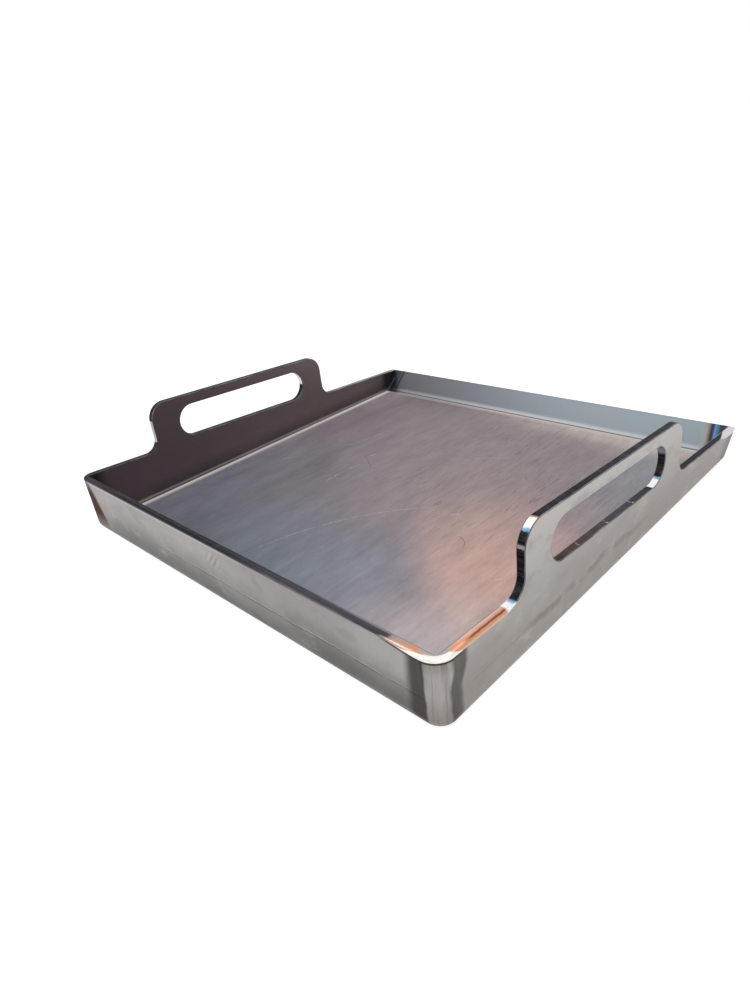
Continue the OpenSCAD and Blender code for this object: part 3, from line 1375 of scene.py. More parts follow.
class RightCut(SideCut):
    """Edges of the right wall: heat colours on the near rim, glints where the cut turns to the sky."""

    name = "right_cut_edge"
    orange: Colour = tone(226, 156, 116)
    peach: Colour = tone(222, 180, 163)
    umber: Colour = tone(94, 74, 70)
    sky: Colour = tone(128, 172, 206)

    def coats(self) -> Coats:
        """The heated strip on the near rim, the glints and the ground patch at the back.

        Returns:
            Their coats.
        """
        y, handle = self.y, self.tray.handle
        share = (self.tray.half_w - self.x) / self.tray.plate_t
        rough = self.wander(0.3, (500, 160, 500), (7, 3, 1), detail=4)
        strip = self.coat(
            self.mix(y.step(-0.156, -0.140), self.orange, self.copper),
            ((share + rough * 0.5).step(0.46, 0.74) * y.step(-0.163, -0.155), self.peach),
            (y.step(-0.1610, -0.1655) * share.step(0.45, 0.65), self.pale),
        )
        past = y - (handle.near - handle.fillet_r)
        glint = self.mix(past.step(-0.0002, 0.0024), self.glint, self.sky)
        wander = self.wander(0.0024, (200, 200, 200), (5, 5, 5))
        patch = (y + wander - share * 0.019).step(0.1405, 0.1430)
        return (
            (y.step(handle.far, handle.far + 0.01) * 0.8, self.dark),
            (past.step(-0.0036, -0.0046), strip),
            (past.band(-0.0048, -0.0032, 0.0022, 0.0036), glint),
            *self.corner_glint(),
            *self.slot_marks(),
            (patch, self.ground),
        )

    def corner_glint(self) -> Coats:
        """The painted glint on the handle's near upper corner, white to blue downwards with a copper fringe
        above it, and a thin painted glint ring.

        Returns:
            Their coats.
        """
        handle = self.tray.handle
        y, z = handle.upper_corner()
        turn = self.turn(self.z - z, y - self.y) + self.wander(0.16, (420, 420, 420), (2, 2, 7))
        above = (self.y - y).step(0.002, 0.0)
        # Thin ring of painted glint where the corner meets the near side
        ring = turn.line(0.21, 0.1) * (self.y - handle.near).step(0.004, 0.002)
        glint = self.mix(turn.step(0.98, 0.84), self.glint, self.sky)
        return (
            (turn.band(0.74, 0.82, 1.36, 1.42) * above, glint),
            # Copper fringe of the painted glint
            (turn.line(1.42, 0.09) * above * 0.8, self.copper),
            (ring * 0.5, self.ground),
        )

    def slot_marks(self) -> Coats:
        """The glint at the slot's far end, and brown scale and small nicks along its lower edge.

        Returns:
            Their coats.
        """
        y, handle = self.y, self.tray.handle
        end_y, end_z = handle.slot_end()
        turn, on_slot = self.slot_turn()
        turn = turn + self.wander(0.16, (420, 420, 420), (8, 2, 3))
        white = turn.band(-0.14, -0.08, 0.66, 0.72) * on_slot * (end_z - self.z).step(0.0, 0.002)
        low = (self.z - end_z + (y - end_y) * self.tray.rim_fall).step(-0.010, -0.0115)
        low = low * (y - handle.near).step(0.02, 0.022)
        worn = self.noise((260, 260, 260), (1, 3, 6), detail=4).blend(0.2, 0.8)
        nicks = self.join(*(y.line(place, 0.0011) for place in handle.slot_nicks))
        spots = self.noise((500, 500, 500), (2, 6, 4)).step(0.45, 0.6)
        scale = self.mix(y.step(-0.01, -0.06), self.light, self.umber)
        return (
            (white, self.mix(turn.step(0.5, 0.62), self.glint, self.sky)),
            (turn.line(2.2, 0.4) * on_slot * 0.5, self.ground),
            (low * y.band(-0.079, -0.068, -0.015, 0.04) * worn, scale),
            (nicks * low * spots * 0.8, self.ground),
        )


class EasedEdge(SteelPaint):
    """Narrow rounded edges, bright where the burr was taken off, with heat colours on the ground corner."""

    name = "eased_edge"
    bright: Colour = tone(118, 115, 114)
    dull: Colour = tone(58, 56, 58)
    ivory: Colour = tone(240, 235, 226)
    cream: Colour = tone(208, 176, 154)
    copper: Colour = tone(204, 150, 120)
    scorched: Colour = tone(116, 62, 40)
    salmon: Colour = tone(196, 160, 150)
    brown: Colour = tone(112, 106, 104)
    ground: Colour = tone(196, 192, 194)
    dark: Colour = tone(24, 23, 27)
    glint: Colour = tone(238, 240, 242)

    def paint(self) -> None:
        """Paints worn bright and dull stretches, the dark front edges, the ground corner and the glints."""
        x, y, front_y = self.x, self.y, self.tray.front_y
        worn = self.noise((60, 60, 60), (1, 5, 2), detail=4)
        fine = self.noise((900, 900, 900), detail=2)
        outer = y.step(front_y + 0.0010, front_y + 0.0006) * x.step(0.07, 0.02).blend(0.55, 1.0)
        inner = y.step(front_y + 0.0040, front_y + 0.0044) * y.step(-0.170, -0.171)
        inner = inner * x.step(0.12, 0.05).blend(0.1, 0.75)
        right = x.step(0.168, 0.170)
        colour = self.coat(
            self.mix(worn.step(0.34, 0.66), self.dull, self.bright),
            (outer.most(inner), self.dark),
            (self.ground_edge(), self.heat()),
            (y.band(-0.1262, -0.1238, -0.1190, -0.1172) * right, self.glint),
            (y.step(0.141, 0.145) * right, self.ground),
        )
        colour = self.lighten(colour, 0.88 + fine * 0.2)
        self.finish(colour, 0.3 + worn * 0.15, 0.7, fine, 0.00002, gloss=0.3)

    def ground_edge(self) -> Value:
        """Where the rim's outer edge is ground round.

        Returns:
            1 on the ground edge, 0 elsewhere.
        """
        x, y, tray, grind = self.x, self.y, self.tray, self.tray.grind
        front = x.step(grind.front_start, grind.front_start + 0.004) * y.step(-0.1735, -0.1745)
        side = y.step(grind.side_end, grind.side_full) * x.step(0.1716, 0.1726)
        corner = self.plan_distance(tray.corner_x, tray.wall_start).step(0.0074, 0.0082)
        corner = corner * x.step(tray.corner_x - 0.0002, tray.corner_x)
        corner = corner * y.step(tray.wall_start + 0.0002, tray.wall_start)
        return self.join(front, side, corner)

    def heat(self) -> Value:
        """Colours of the ground edge: ivory round the corner, copper along both sides of it.

        Returns:
            The colour.
        """
        x, y, radius = self.x, self.y, self.tray.grind.radius
        wander = self.wander(0.006, (260, 260, 260), (4, 0, 3))
        below = self.below_rim()
        up = (radius - below) / radius
        groove = (self.tray.half_w - x + wander * 0.1).line(0.0015, 0.0008) * y.step(-0.160, -0.150)
        side = self.mix((below + wander * 0.1).step(0.0012, 0.0017), self.copper, self.cream)
        side = self.mix(groove, side, self.scorched)
        front = self.mix((x + wander).step(0.141, 0.148), self.brown, self.salmon)
        front = self.mix((x + wander).step(0.152, 0.160), front, self.copper)
        hot = (x + wander * 0.4 - up * 0.021).step(0.1432, 0.1466)
        hot = hot * (y + wander * 0.4 + up * 0.007).step(-0.1585, -0.1605)
        return self.mix(hot, self.mix((y + wander).step(-0.171, -0.163), front, side), self.ivory)


class GroundRim(SteelPaint):
    """Rim of the back corners, ground flat: pale and mottled."""

    name = "ground_rim"
    pale: Colour = tone(192, 188, 190)
    mottled: Colour = tone(140, 136, 140)

    def paint(self) -> None:
        """Paints the mottle."""
        mottle = self.noise((380, 380, 380), (1, 1, 4), detail=4)
        swirl = self.noise((120, 700, 120), (6, 2, 2))
        colour = self.mix(mottle.step(0.4, 0.7) * 0.7, self.pale, self.mottled)
        self.finish(colour, 0.35 + swirl * 0.2, 0.8, mottle * 0.5 + swirl * 0.5, 0.00005)


class Underside(SteelPaint):
    """Underside of the cooking plate: dull rolled scale with rub marks."""

    name = "underside_steel"
    base: Colour = tone(122, 117, 114)
    dark: Colour = tone(84, 80, 80)
    rubbed: Colour = tone(168, 164, 160)

    def paint(self) -> None:
        """Paints the clouds, the streaks and the rub marks."""
        clouds = self.noise((11, 11, 11), detail=5)
        streaks = self.noise((14, 420, 1), (2, 2, 0), detail=4)
        rub = self.noise((26, 60, 1), (7, 1, 0), detail=4).step(0.56, 0.74)
        colour = self.mix(clouds.step(0.32, 0.7), self.dark, self.base)
        colour = self.mix(rub * 0.45, self.lighten(colour, 0.86 + streaks * 0.24), self.rubbed)
        self.finish(colour, 0.42 + clouds * 0.18 - rub * 0.08, 0.8, streaks * 0.5 + clouds * 0.5, 0.00004)


# Pieces

class Piece:
    """A piece that stands for one CAD node."""

    def shell(self) -> Shell:
        """Makes the surfaces, each piece in its own way."""
        raise NotImplementedError

    def build(self, node: str, slot: str, materials: Sequence[bpy.types.Material]) -> None:
        """Builds the piece and sets it in place of its node.

        Args:
            node: the node that it replaces.
            slot: the record's material slot; not used.
            materials: one material for each Surface.
        """
        made = self.shell().build(materials)
        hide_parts(node)
        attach(made, BODY)


@dataclass(frozen=True)
class CookingPlate(Piece):
    """The cooking plate: a slightly wavy rolled surface with eased edges over a flat underside."""

    tray: Tray
    wave: float = 0.00010
    wave_x: float = 0.11
    wave_y: float = 0.176
    wave_phase: float = 0.7
    wave_fade: float = 0.02
    columns: int = 48
    ease: float = 0.00012

    def edge_places(self, low: float, high: float) -> np.ndarray:
        """Places of grid lines: close together on the two eased edges, even between them.

        Args:
            low, high: the plate's two edges.

        Returns:
            The places, from low to high.
        """
        ease = self.ease * ease_profile()[1]
        middle = np.linspace(low + self.ease, high - self.ease, self.columns)[1:-1]
        return np.concatenate([low + ease, middle, (high - ease)[::-1]])

    def drop(self, distance: np.ndarray) -> np.ndarray:
        """How far the quarter round of an edge falls at a distance from it."""
        inside = np.clip(self.ease - distance, 0, self.ease)
        return self.ease - np.sqrt(self.ease ** 2 - inside ** 2)

    @staticmethod
    def outline(grid: np.ndarray) -> np.ndarray:
        """The outer points of a grid, once round."""
        return np.concatenate([grid[0, :-1], grid[:-1, -1], grid[-1, :0:-1], grid[:0:-1, 0]])

    def shell(self) -> Shell:
        """Makes the surfaces.

        The top is z = thickness - ease(x) - ease(y) - wave(x, y), with ease a quarter round at each edge and
        wave a product of two cosines that fades out at the edges. Its outline then drops to the weld bevel.

        Returns:
            The plate's surfaces.
        """
        t = self.tray
        x, y = np.meshgrid(self.edge_places(-t.seam_x, t.seam_x), self.edge_places(t.seam_front, t.seam_back))
        to_side = t.seam_x - np.abs(x)
        to_end = np.minimum(y - t.seam_front, t.seam_back - y)
        fade = np.clip(np.minimum(to_side, to_end) / self.wave_fade, 0, 1)
        ripple = np.cos(2 * np.pi * x / self.wave_x + self.wave_phase) * np.cos(2 * np.pi * y / self.wave_y)
        z = t.plate_t - self.drop(to_side) - self.drop(to_end) - self.wave * fade * (1 + ripple) / 2
        top = np.stack([x, y, z], -1)
        middle = np.array([0, (t.seam_front + t.seam_back) / 2])
        half = np.array([t.seam_x, (t.seam_back - t.seam_front) / 2])
        under_plan = middle + (top[..., :2] - middle) * (half - t.weld_d) / half
        under = np.concatenate([under_plan, np.zeros_like(z)[..., None]], -1)
        land = self.outline(top).copy()
        land[:, 2] = t.weld_d
        shell = Shell("cooking_plate")
        shell.grid(top, Surface.INSIDE)
        shell.grid(np.stack([self.outline(top), land]), Surface.EASE, wrap=True)
        shell.grid(np.stack([land, self.outline(under)]), Surface.OUTSIDE, wrap=True)
        shell.grid(under, Surface.OUTSIDE)
        return shell


@dataclass(frozen=True)
class SectionPlate(Piece):
    """A plate with one section all along X: the front wall or the back lip.

    The corners are y and z of the seam's lower edge, the outer bend, the rim's outer and inner edge, the
    inner bend and the seam's upper edge. The stations are places along X, each with the radius of the rim's
    outer edge.
    """

    name: str
    tray: Tray
    corners: Sequence[Sequence[float]]
    stations: Sequence[tuple[float, float]]

    @classmethod
    def front_wall(cls, tray: Tray) -> "SectionPlate":
        """The upright front wall, whose rim is ground at its right end.

        Args:
            tray: the tray's sizes.

        Returns:
            The wall.
        """
        inner_y = tray.front_y + tray.plate_t
        corners = (
            (tray.seam_front, 0),
            (tray.front_y, 0),
            (tray.front_y, tray.rim_z(tray.front_y)),
            (inner_y, tray.rim_z(inner_y)),
            (inner_y, tray.plate_t),
            (tray.seam_front, tray.plate_t),
        )
        return cls("front_wall_plate", tray, corners, tray.grind.stations(tray.corner_x))

    @classmethod
    def back_lip(cls, tray: Tray) -> "SectionPlate":
        """The sloping lip, whose outer and inner bends share one axis above the seam.

        Args:
            tray: the tray's sizes.

        Returns:
            The lip.
        """
        half = math.tan(LIP_ANGLE / 2)
        top = np.array([tray.seam_back + tray.lip_run * LIP_COS, tray.foot_r + tray.lip_run * LIP_SIN])
        outward = np.array([LIP_SIN, -LIP_COS])
        corners = (
            (tray.seam_back, 0),
            (tray.seam_back + tray.foot_r * half, 0),
            top + tray.foot_r * outward,
            top + tray.bend_r * outward,
            (tray.seam_back + tray.bend_r * half, tray.plate_t),
            (tray.seam_back, tray.plate_t),
        )
        return cls("back_lip_plate", tray, corners, ((-tray.seam_x, EASE_R), (tray.seam_x, EASE_R)))

    def section(self, rim_r: float) -> np.ndarray:
        """The rounded section, with rim_r as the radius of the rim's outer edge."""
        radii = [0, self.tray.foot_r, rim_r, EASE_R, self.tray.bend_r, 0]
        return rounded(self.corners, radii, merge=False)

    def shell(self) -> Shell:
        """Carries the section along X and closes its ends.

        Returns:
            The plate's surfaces.
        """
        outer, inner, end = 2 * ARC_STEPS, 3 * ARC_STEPS, 4 * ARC_STEPS
        # Where each surface starts and ends along the section
        runs = (
            (Surface.OUTSIDE, 0, outer),
            (Surface.EASE, outer, inner - 1),
            (Surface.EDGE, inner - 1, inner),
            (Surface.EASE, inner, end - 1),
            (Surface.INSIDE, end - 1, 6 * ARC_STEPS - 1),
        )
        shell = Shell(self.name)
        rows = np.stack([upright(self.section(rim_r), x) for x, rim_r in self.stations])
        for surface, first, last in runs:
            shell.grid(rows[:, first:last + 1], surface)
        shell.grid(rows[:, [-1, 0]], Surface.OUTSIDE)
        for loop in rows[[0, -1]]:
            shell.cap(loop, Surface.OUTSIDE)
        return shell


@dataclass(frozen=True)
class HandleWall(Piece):
    """A side wall with its cut-out handle and the bend along its foot."""

    tray: Tray
    side: Side

    def outline(self) -> np.ndarray:
        """The wall's outline from its foot round the rim and the handle, back to front.

        Returns:
            Its points as y and z.
        """
        t, h = self.tray, self.tray.handle
        corners = [
            (t.wall_start, t.foot_r),
            (t.seam_back, t.foot_r),
            (t.wall_end, t.rim_z(t.wall_end)),
            h.over_rim(h.far, 0),
            h.over_rim(h.far, h.rise),
            h.over_rim(h.near, h.rise),
            h.over_rim(h.near, 0),
            (t.wall_start, t.rim_z(t.wall_start)),
        ]
        outline = rounded(corners, [0, 0, 0, h.fillet_r, h.corner_r, h.corner_r, h.fillet_r, 0])
        ground_y = t.grind.side_full
        return np.insert(outline, -1, [ground_y, t.rim_z(ground_y)], axis=0)

    def slot(self) -> np.ndarray:
        """The finger slot's outline: its lower half from the near to the far end, then its upper half back.

        Returns:
            Its points as y and z.
        """
        h = self.tray.handle
        middle = h.slot_middle()
        along, up = h.along * h.slot_l / 2, h.up * h.slot_h / 2
        corners = [middle - along - up, middle + along - up, middle + along + up, middle - along + up]
        return rounded(corners, [h.slot_h / 2] * 4)

    def edge_rings(self, path: np.ndarray, inset: np.ndarray, outer_r: Any = EASE_R) -> np.ndarray:
        """Carries the profile of a cut edge along a path.

        The profile is a quarter round, the flat of the cut and another quarter round.

        Args:
            path: points along the cut.
            inset: how each point moves into the plate for an inset of 1.
            outer_r: radius of the outer quarter round, one number or one for each point.

        Returns:
            Rows of points from the outer face across to the inner face.
        """
        drop, inward = (part[:, None] for part in ease_profile())
        outer_r = np.broadcast_to(outer_r, len(path))
        inner_r = np.full(len(path), EASE_R)
        depth = np.concatenate([drop * outer_r, drop[::-1] * inner_r])
        outer_x = self.tray.half_w - inward * outer_r
        inner_x = self.tray.half_w - self.tray.plate_t + inward[::-1] * inner_r
        x = self.side.value * np.concatenate([outer_x, inner_x])
        return upright(path + depth[..., None] * inset, x)

    def shell(self) -> Shell:
        """Makes the cut edges, the two faces with the slot between them, and the bend.

        Returns:
            The wall's surfaces.
        """
        t, n = self.tray, ARC_STEPS
        outline = self.outline()
        foot, path = outline[:2], outline[2:]
        inset = inset_directions(path, closed=False)
        # At its two ends the rim's ease slides down the joints with the lip and with the front corner
        lip_side = unit(outline[1] - outline[2])
        inset[0] = lip_side / (lip_side @ inset[0])
        inset[-1] = np.array([0, -1]) / -inset[-1][1]
        hole = self.slot()
        ground = self.side is Side.RIGHT
        rim_rings = self.edge_rings(path, inset, t.grind.side_radius(path[:, 0]) if ground else EASE_R)
        slot_rings = self.edge_rings(hole, -inset_directions(hole, closed=True))
        shell = Shell(f"{self.side.word}_handle_plate")
        for rings, wrap in ((rim_rings, False), (slot_rings, True)):
            shell.grid(rings[:EASE_STEPS], Surface.EASE, wrap)
            shell.grid(rings[EASE_STEPS - 1:EASE_STEPS + 1], Surface.EDGE, wrap)
            shell.grid(rings[EASE_STEPS:], Surface.EASE, wrap)
        for surface, row, x in ((Surface.OUTSIDE, 0, t.half_w), (Surface.INSIDE, -1, t.half_w - t.plate_t)):
            rim, slot = rim_rings[row], slot_rings[row]
            base = upright(foot, self.side.value * x)
            lower = [rim[3 * n:], base, rim[:n + 2], slot[:2 * n][::-1]]
            upper = [rim[n + 1:3 * n + 1], slot[:1], slot[2 * n - 1:][::-1]]
            shell.cap(np.concatenate(lower), surface)
            shell.cap(np.concatenate(upper), surface)
        self.add_foot(shell, rim_rings)
        return shell

    def foot_arc(self, radius: float, y: float) -> np.ndarray:
        """A quarter round about the axis of the bend, from the wall down to the seam.

        Args:
            radius: its radius.
            y: its place along the wall.

        Returns:
            Its points.
        """
        turn = quarter(ARC_STEPS)
        x = self.side.value * (self.tray.seam_x + radius * np.cos(turn))
        return np.stack([x, np.full(len(turn), y), self.tray.foot_r - radius * np.sin(turn)], -1)

    def add_foot(self, shell: Shell, rim_rings: np.ndarray) -> None:
        """Adds the bend along the wall's foot and closes the wall's ends.

        The bend is two quarter rounds about one axis, carried along Y.

        Args:
            shell: the wall's surfaces.
            rim_rings: the rim's edge, whose first and last columns are the wall's upper ends.
        """
        t = self.tray
        ends = (t.wall_start, t.seam_back)
        outer, inner = ([self.foot_arc(radius, y) for y in ends] for radius in (t.foot_r, t.bend_r))
        shell.grid(np.stack(outer), Surface.OUTSIDE)
        shell.grid(np.stack(inner), Surface.INSIDE)
        shell.grid(np.stack([np.stack(outer)[:, -1], np.stack(inner)[:, -1]]), Surface.OUTSIDE)
        shell.cap(np.concatenate([outer[0][::-1], rim_rings[:, -1], inner[0]]), Surface.OUTSIDE)
        shell.cap(np.concatenate([outer[1][::-1], inner[1]]), Surface.OUTSIDE)
        shell.cap(np.concatenate([outer[1][:1], rim_rings[:, 0], inner[1][:1]]), Surface.OUTSIDE)


@dataclass(frozen=True)
class FrontCorner(Piece):
    """Weld that closes a front corner, ground round by hand."""

    tray: Tray
    side: Side
    facet: float = 0.00016
    # How often the grinding facets repeat round the corner, and how far they shift from foot to rim
    facet_turns: float = 3.5
    facet_lean: float = 1.7

    @property
    def rim_r(self) -> float:
        """Radius of the rim's outer edge."""
        return self.tray.grind.radius if self.side is Side.RIGHT else EASE_R

    def place(self, radius: np.ndarray, z: np.ndarray, turn: np.ndarray) -> np.ndarray:
        """Sets points round the corner's upright axis.

        Args:
            radius: their distance from the axis.
            z: their height.
            turn: their direction, 0 to the side and a quarter turn to the front.

        Returns:
            The points.
        """
        x = self.side.value * (self.tray.corner_x + radius * np.cos(turn))
        y = self.tray.wall_start - radius * np.sin(turn)
        return np.stack([x, y, np.broadcast_to(z, x.shape)], -1)

    def under_rim(self, radius: np.ndarray, depth: np.ndarray, turn: np.ndarray) -> np.ndarray:
        """Sets points round the axis by their depth below the rim.

        Args:
            radius, turn: their distance and direction, as in place.
            depth: how far below the rim they lie.

        Returns:
            The points.
        """
        points = self.place(radius, depth, turn)
        points[..., 2] = self.tray.rim_z(points[..., 1]) - points[..., 2]
        return points

    def shell(self) -> Shell:
        """Makes the weld as bands of rows, each row a quarter turn about the corner's axis.

        Up the outside the radius is the bend's quarter round, then the corner's radius less the facets, which
        are squared sines of the turn and fade out at the joints, the rim and the foot. Down the inside it is
        the distance to a nearly square corner.

        Returns:
            The weld's surfaces.
        """
        t, rim_r = self.tray, self.rim_r
        turn = quarter(3 * ARC_STEPS)[None]
        blend = t.corner_r - t.foot_r
        seam = blend / np.maximum(np.cos(turn), np.sin(turn))
        wall = (t.corner_r - t.plate_t) * inside_square(turn)
        rise = np.linspace(0, 1, ARC_STEPS)[:, None]
        first = np.arcsin(np.clip((seam - blend) / t.foot_r, 0, 1))
        bend = first + (np.pi / 2 - first) * rise
        foot = self.place(blend + t.foot_r * np.sin(bend), t.foot_r * (1 - np.cos(bend)), turn)
        waves = np.sin(self.facet_turns * turn + self.facet_lean * rise) ** 2
        facets = self.facet * waves * np.sin(2 * turn) ** 2 * np.sin(np.pi * rise)
        top = t.rim_z(t.wall_start - t.corner_r * np.sin(turn)) - rim_r
        column = self.place(t.corner_r - facets, t.foot_r + (top - t.foot_r) * rise, turn)
        depth, inset = (part[:, None] for part in ease_profile())
        outer_ease = self.under_rim(t.corner_r - rim_r * inset, rim_r * depth, turn)
        inner_ease = self.under_rim(wall + EASE_R * inset[::-1], EASE_R * depth[::-1], turn)
        down = quarter(ARC_STEPS)[::-1, None]
        inside = self.place(seam + (wall - seam) * np.sin(down), t.foot_r - t.bend_r * np.cos(down), turn)
        shell = Shell(f"front_{self.side.word}_corner_bead")
        shell.grid(np.concatenate([foot, column[1:]]), Surface.OUTSIDE)
        shell.grid(outer_ease, Surface.EASE)
        shell.grid(np.stack([outer_ease[-1], inner_ease[0]]), Surface.EDGE)
        shell.grid(inner_ease, Surface.EASE)
        shell.grid(np.concatenate([inner_ease[-1:], inside]), Surface.INSIDE)
        shell.grid(np.stack([inside[-1], foot[0]]), Surface.INSIDE)
        rows = np.concatenate([foot, column[1:], outer_ease[1:], inner_ease, inside])
        for end in (0, -1):
            shell.cap(rows[:, end], Surface.OUTSIDE)
        return shell


@dataclass(frozen=True)
class BackCorner(Piece):
    """Weld that closes a back corner: it turns with the lip's bend, then runs up its slope to the rim."""

    tray: Tray
    side: Side

    def section(self, inset: float) -> np.ndarray:
        """The section, out from the bend's axis: a quarter round and, inside it, a nearly square corner.

        Args:
            inset: how far the outside and the inside move into the metal.

        Returns:
            Rows of the distance to the side and the distance below the axis, once round.
        """
        turn = quarter(2 * ARC_STEPS)
        ray = np.stack([np.cos(turn), np.sin(turn)], -1)
        outer = (self.tray.foot_r - inset) * ray
        inner = ((self.tray.bend_r + inset) * inside_square(turn))[:, None] * ray
        return np.concatenate([outer, inner[::-1]])

    def place(self, section: np.ndarray, turn: Any, slide: Any) -> np.ndarray:
        """Sets a section at a turn about the bend's axis, then slides it along the slope.

        Args:
            section: the section's points.
            turn: the turn, one number or a column with one for each row.
            slide: how far each point slides.

        Returns:
            The points in the tray's frame.
        """
        t = self.tray
        x = self.side.value * (t.seam_x + section[:, 0])
        y = t.seam_back + section[:, 1] * np.sin(turn) + slide * np.cos(turn)
        z = t.foot_r - section[:, 1] * np.cos(turn) + slide * np.sin(turn)
        return np.stack([np.broadcast_to(x, y.shape), y, z], -1)

    def to_rim(self, section: np.ndarray) -> np.ndarray:
        """How far along the slope each point of a section meets the plane of the rim or the lip's square end.

        Args:
            section: the section's points.

        Returns:
            A distance for each point.
        """
        t = self.tray
        y = t.seam_back + section[:, 1] * LIP_SIN
        z = t.foot_r - section[:, 1] * LIP_COS
        return np.minimum((t.rim_z(y) - z) / (LIP_SIN + LIP_COS * t.rim_fall), t.lip_run)

    def eased(self, drop: float, inset: float) -> np.ndarray:
        """One row of the eased rim, drop below it and inset inside the faces, both in shares of EASE_R."""
        section = self.section(EASE_R * inset)
        return self.place(section, LIP_ANGLE, self.to_rim(section) - EASE_R * drop)

    def shell(self) -> Shell:
        """Carries the section round the bend and up the slope.

        Returns:
            The weld's surfaces.
        """
        full = self.section(0)
        bend = self.place(full, np.linspace(0, LIP_ANGLE, ARC_STEPS)[:, None], 0)
        share = np.linspace(0, 1, ARC_STEPS)[1:, None]
        slope = self.place(full, LIP_ANGLE, share * (self.to_rim(full) - EASE_R))
        easing = np.stack([self.eased(drop, inset) for drop, inset in zip(*ease_profile())])
        rows = np.concatenate([bend, slope])
        half = len(full) // 2
        shell = Shell(f"back_{self.side.word}_corner_bead")
        shell.grid(rows[:, :half], Surface.OUTSIDE)
        shell.grid(rows[:, half:], Surface.INSIDE)
        shell.grid(rows[:, half - 1:half + 1], Surface.INSIDE)
        shell.grid(rows[:, [-1, 0]], Surface.INSIDE)
        shell.grid(easing, Surface.EASE, wrap=True)
        shell.cap(easing[-1], Surface.EDGE)
        shell.cap(bend[0], Surface.INSIDE)
        return shell


class Griddle:
    """The whole griddle plate: sizes, finishes and pieces."""

    finishes: tuple[type[SteelPaint], ...] = (
        MillSteel, SideMill, DarkSteel, LipSteel, EasedEdge, GroundWeld, GroundRim, Underside, CookingSteel,
        FrontCut, LipCut, CornerCut, LeftCut, RightCut,
    )

    def __init__(self) -> None:
        """Reads the sizes and paints the materials."""
        self.tray = Tray.from_frame()
        self.materials = {finish: finish(self.tray).material for finish in self.finishes}

    def place(self, piece: Piece, node: str, slot: str, *finishes: type[SteelPaint]) -> None:
        """Builds a piece in place of its node, with one finish for each Surface."""
        piece.build(node, slot, [self.materials[finish] for finish in finishes])

    def build(self) -> None:
        """Builds every piece and dresses the seam welds."""
        t = self.tray
        plate, wall, lip = CookingPlate(t), SectionPlate.front_wall(t), SectionPlate.back_lip(t)
        self.place(plate, "base_plate", "cooking_plate", Underside, CookingSteel, CookingSteel, EasedEdge)
        self.place(wall, "front_wall", "wall_plate", MillSteel, DarkSteel, FrontCut, EasedEdge)
        self.place(lip, "back_lip", "wall_plate", MillSteel, LipSteel, LipCut, LipSteel)
        for side, cut in ((Side.LEFT, LeftCut), (Side.RIGHT, RightCut)):
            self.build_side(side, cut)
        for edge in ("front", "back", "left", "right"):
            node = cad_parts[f"{edge}_seam_weld"]
            node.data.materials.clear()
            node.data.materials.append(self.materials[GroundWeld])
            log.info("%s_seam_weld: dressed", edge)

    def build_side(self, side: Side, cut: type[SideCut]) -> None:
        """Builds a handle wall and the corners at its two ends.

        Args:
            side: the wall's side.
            cut: the finish of its cut edges.
        """
        t, word = self.tray, side.word
        wall, front, back = HandleWall(t, side), FrontCorner(t, side), BackCorner(t, side)
        self.place(wall, f"{word}_handle_wall", "wall_plate", SideMill, DarkSteel, cut, EasedEdge)
        front_finishes = (GroundWeld, DarkSteel, CornerCut, EasedEdge)
        self.place(front, f"front_{word}_corner_weld", "ground_weld", *front_finishes)
        back_finishes = (GroundWeld, LipSteel, GroundRim, EasedEdge)
        self.place(back, f"back_{word}_corner_weld", "ground_weld", *back_finishes)


# Studio

@dataclass(frozen=True)
class Lamp:
    """A soft square lamp."""

    name: str
    place: Point
    size: float
    watts: float

    def hang(self) -> None:
        """Hangs the lamp and turns it to the middle of the tray."""
        light = bpy.data.lights.new(self.name, "AREA")
        light.size = self.size
        light.energy = self.watts
        lamp = bpy.data.objects.new(self.name, light)
        lamp.location = self.place
        lamp.rotation_euler = (-lamp.location).to_track_quat("-Z", "Y").to_euler()
        bpy.context.scene.collection.objects.link(lamp)


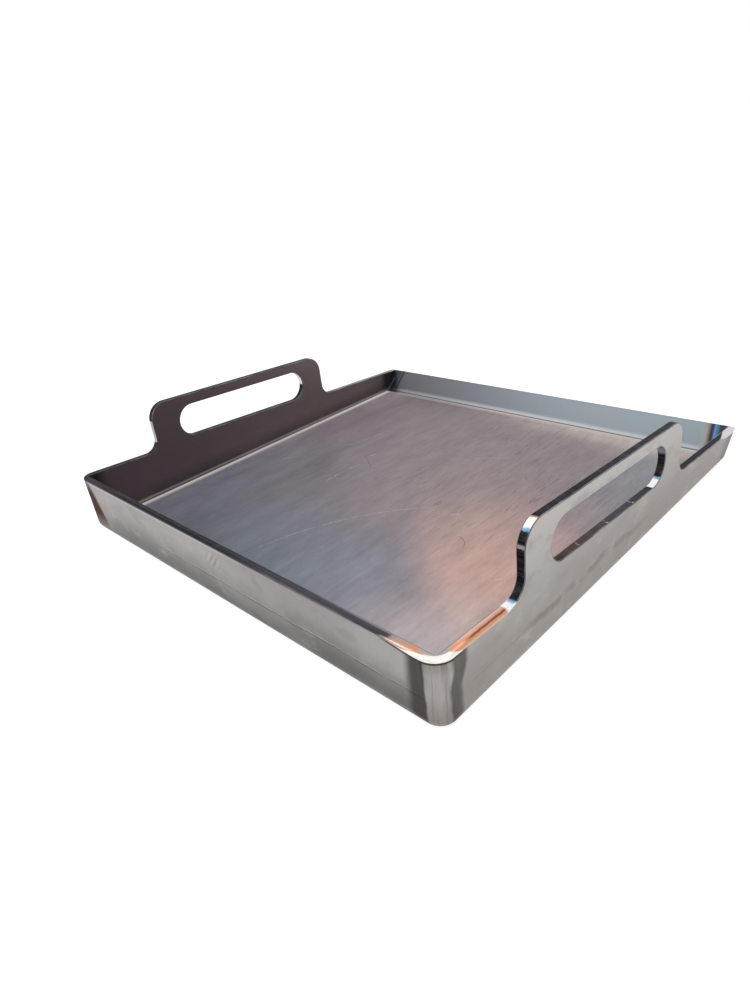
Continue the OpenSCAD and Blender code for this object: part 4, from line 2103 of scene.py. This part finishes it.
@dataclass(frozen=True)
class Studio:
    """Camera, lamps, floor and white background."""

    camera_place: Point = (0.32178, -0.33519, 0.23960)
    camera_yaw: float = math.radians(47.3125)
    camera_tilt: float = math.radians(61.86)
    camera_roll: float = math.radians(-7.5078)
    # The photograph's focal length and optical centre, in shares of its 1000 pixel height
    focal_share: float = 0.67145
    shift: tuple[float, float] = (-0.00091, 0.00491)
    sensor: float = 36.0
    near_clip: float = 0.01
    floor_half: float = 8.0
    floor_gap: float = 0.0004
    floor_colour: Colour = (0.9, 0.9, 0.9, 1.0)
    # The floor glows for the rays that see it, so that only the object's shadow shows
    floor_share: float = 0.6
    floor_glow: float = 1.36
    white: Colour = (1.0, 1.0, 1.0, 1.0)
    ambient: float = 0.55
    lamps: tuple[Lamp, ...] = (
        Lamp("key_lamp", (-0.9, -1.1, 1.3), 1.2, 14),
        Lamp("fill_lamp", (1.3, -0.5, 1.0), 1.2, 7),
        Lamp("back_lamp", (0.2, 1.4, 1.2), 1.0, 8),
    )

    def set_up(self) -> None:
        """Sets up the whole studio."""
        bpy.context.scene.view_settings.view_transform = "Standard"
        self.place_camera()
        for lamp in self.lamps:
            lamp.hang()
        self.light_world()
        self.lay_floor()

    def place_camera(self) -> None:
        """Places the camera where the photograph was taken."""
        data = bpy.data.cameras.new("photo_camera")
        data.sensor_width = self.sensor
        data.lens = self.focal_share * self.sensor
        data.shift_x, data.shift_y = self.shift
        data.clip_start = self.near_clip
        camera = bpy.data.objects.new("photo_camera", data)
        yaw = Matrix.Rotation(self.camera_yaw, 4, "Z")
        tilt = Matrix.Rotation(self.camera_tilt, 4, "X")
        roll = Matrix.Rotation(self.camera_roll, 4, "Z")
        camera.matrix_world = Matrix.Translation(self.camera_place) @ yaw @ tilt @ roll
        bpy.context.scene.collection.objects.link(camera)
        bpy.context.scene.camera = camera

    @staticmethod
    def seen_rays(graph: Graph) -> Value:
        """Tells the rays that show the background: those of the camera, of gloss and of glass.

        Args:
            graph: the node tree that asks.

        Returns:
            1 for such a ray, 0 for the others.
        """
        path = graph.tree.nodes.new("ShaderNodeLightPath")
        names = ("Is Camera Ray", "Is Glossy Ray", "Is Transmission Ray")
        camera, gloss, glass = (Value(graph, path.outputs[name]) for name in names)
        return camera.most(gloss).most(glass)

    def light_world(self) -> None:
        """Makes the world a plain soft light that shows as white."""
        world = bpy.data.worlds.new("white_studio")
        bpy.context.scene.world = world
        world.use_nodes = True
        graph = Graph(world.node_tree)
        light = graph.node("ShaderNodeBackground", None, {"Color": self.white, "Strength": self.ambient})
        white = graph.node("ShaderNodeBackground", None, {"Color": self.white, "Strength": 1.0})
        shown = graph.node("ShaderNodeMixShader", None, {0: self.seen_rays(graph), 1: light, 2: white})
        graph.node("ShaderNodeOutputWorld", None, {"Surface": shown})

    def lay_floor(self) -> None:
        """Lays a white floor that keeps a soft shadow."""
        reach = self.floor_half * np.array([[-1, -1], [1, -1], [1, 1], [-1, 1]])
        corners = np.column_stack([reach, np.full(4, -self.floor_gap)])
        mesh = bpy.data.meshes.new("floor")
        mesh.from_pydata(corners, [], [list(range(len(corners)))])
        material = bpy.data.materials.new("floor_white")
        material.use_nodes = True
        graph = Graph(material.node_tree)
        matt = graph.node("ShaderNodeBsdfDiffuse", None, {"Color": self.floor_colour})
        glow = graph.node("ShaderNodeEmission", None, {"Color": self.white, "Strength": self.floor_glow})
        share = self.seen_rays(graph) * self.floor_share
        shown = graph.node("ShaderNodeMixShader", None, {0: share, 1: matt, 2: glow})
        graph.node("ShaderNodeOutputMaterial", None, {"Surface": shown})
        mesh.materials.append(material)
        floor = bpy.data.objects.new("floor", mesh)
        bpy.context.scene.collection.objects.link(floor)


def main() -> None:
    """Builds the griddle plate and its studio."""
    logging.basicConfig(level=logging.INFO, format="%(name)s: %(message)s")
    Griddle().build()
    Studio().set_up()


if __name__ == "__main__":
    main()
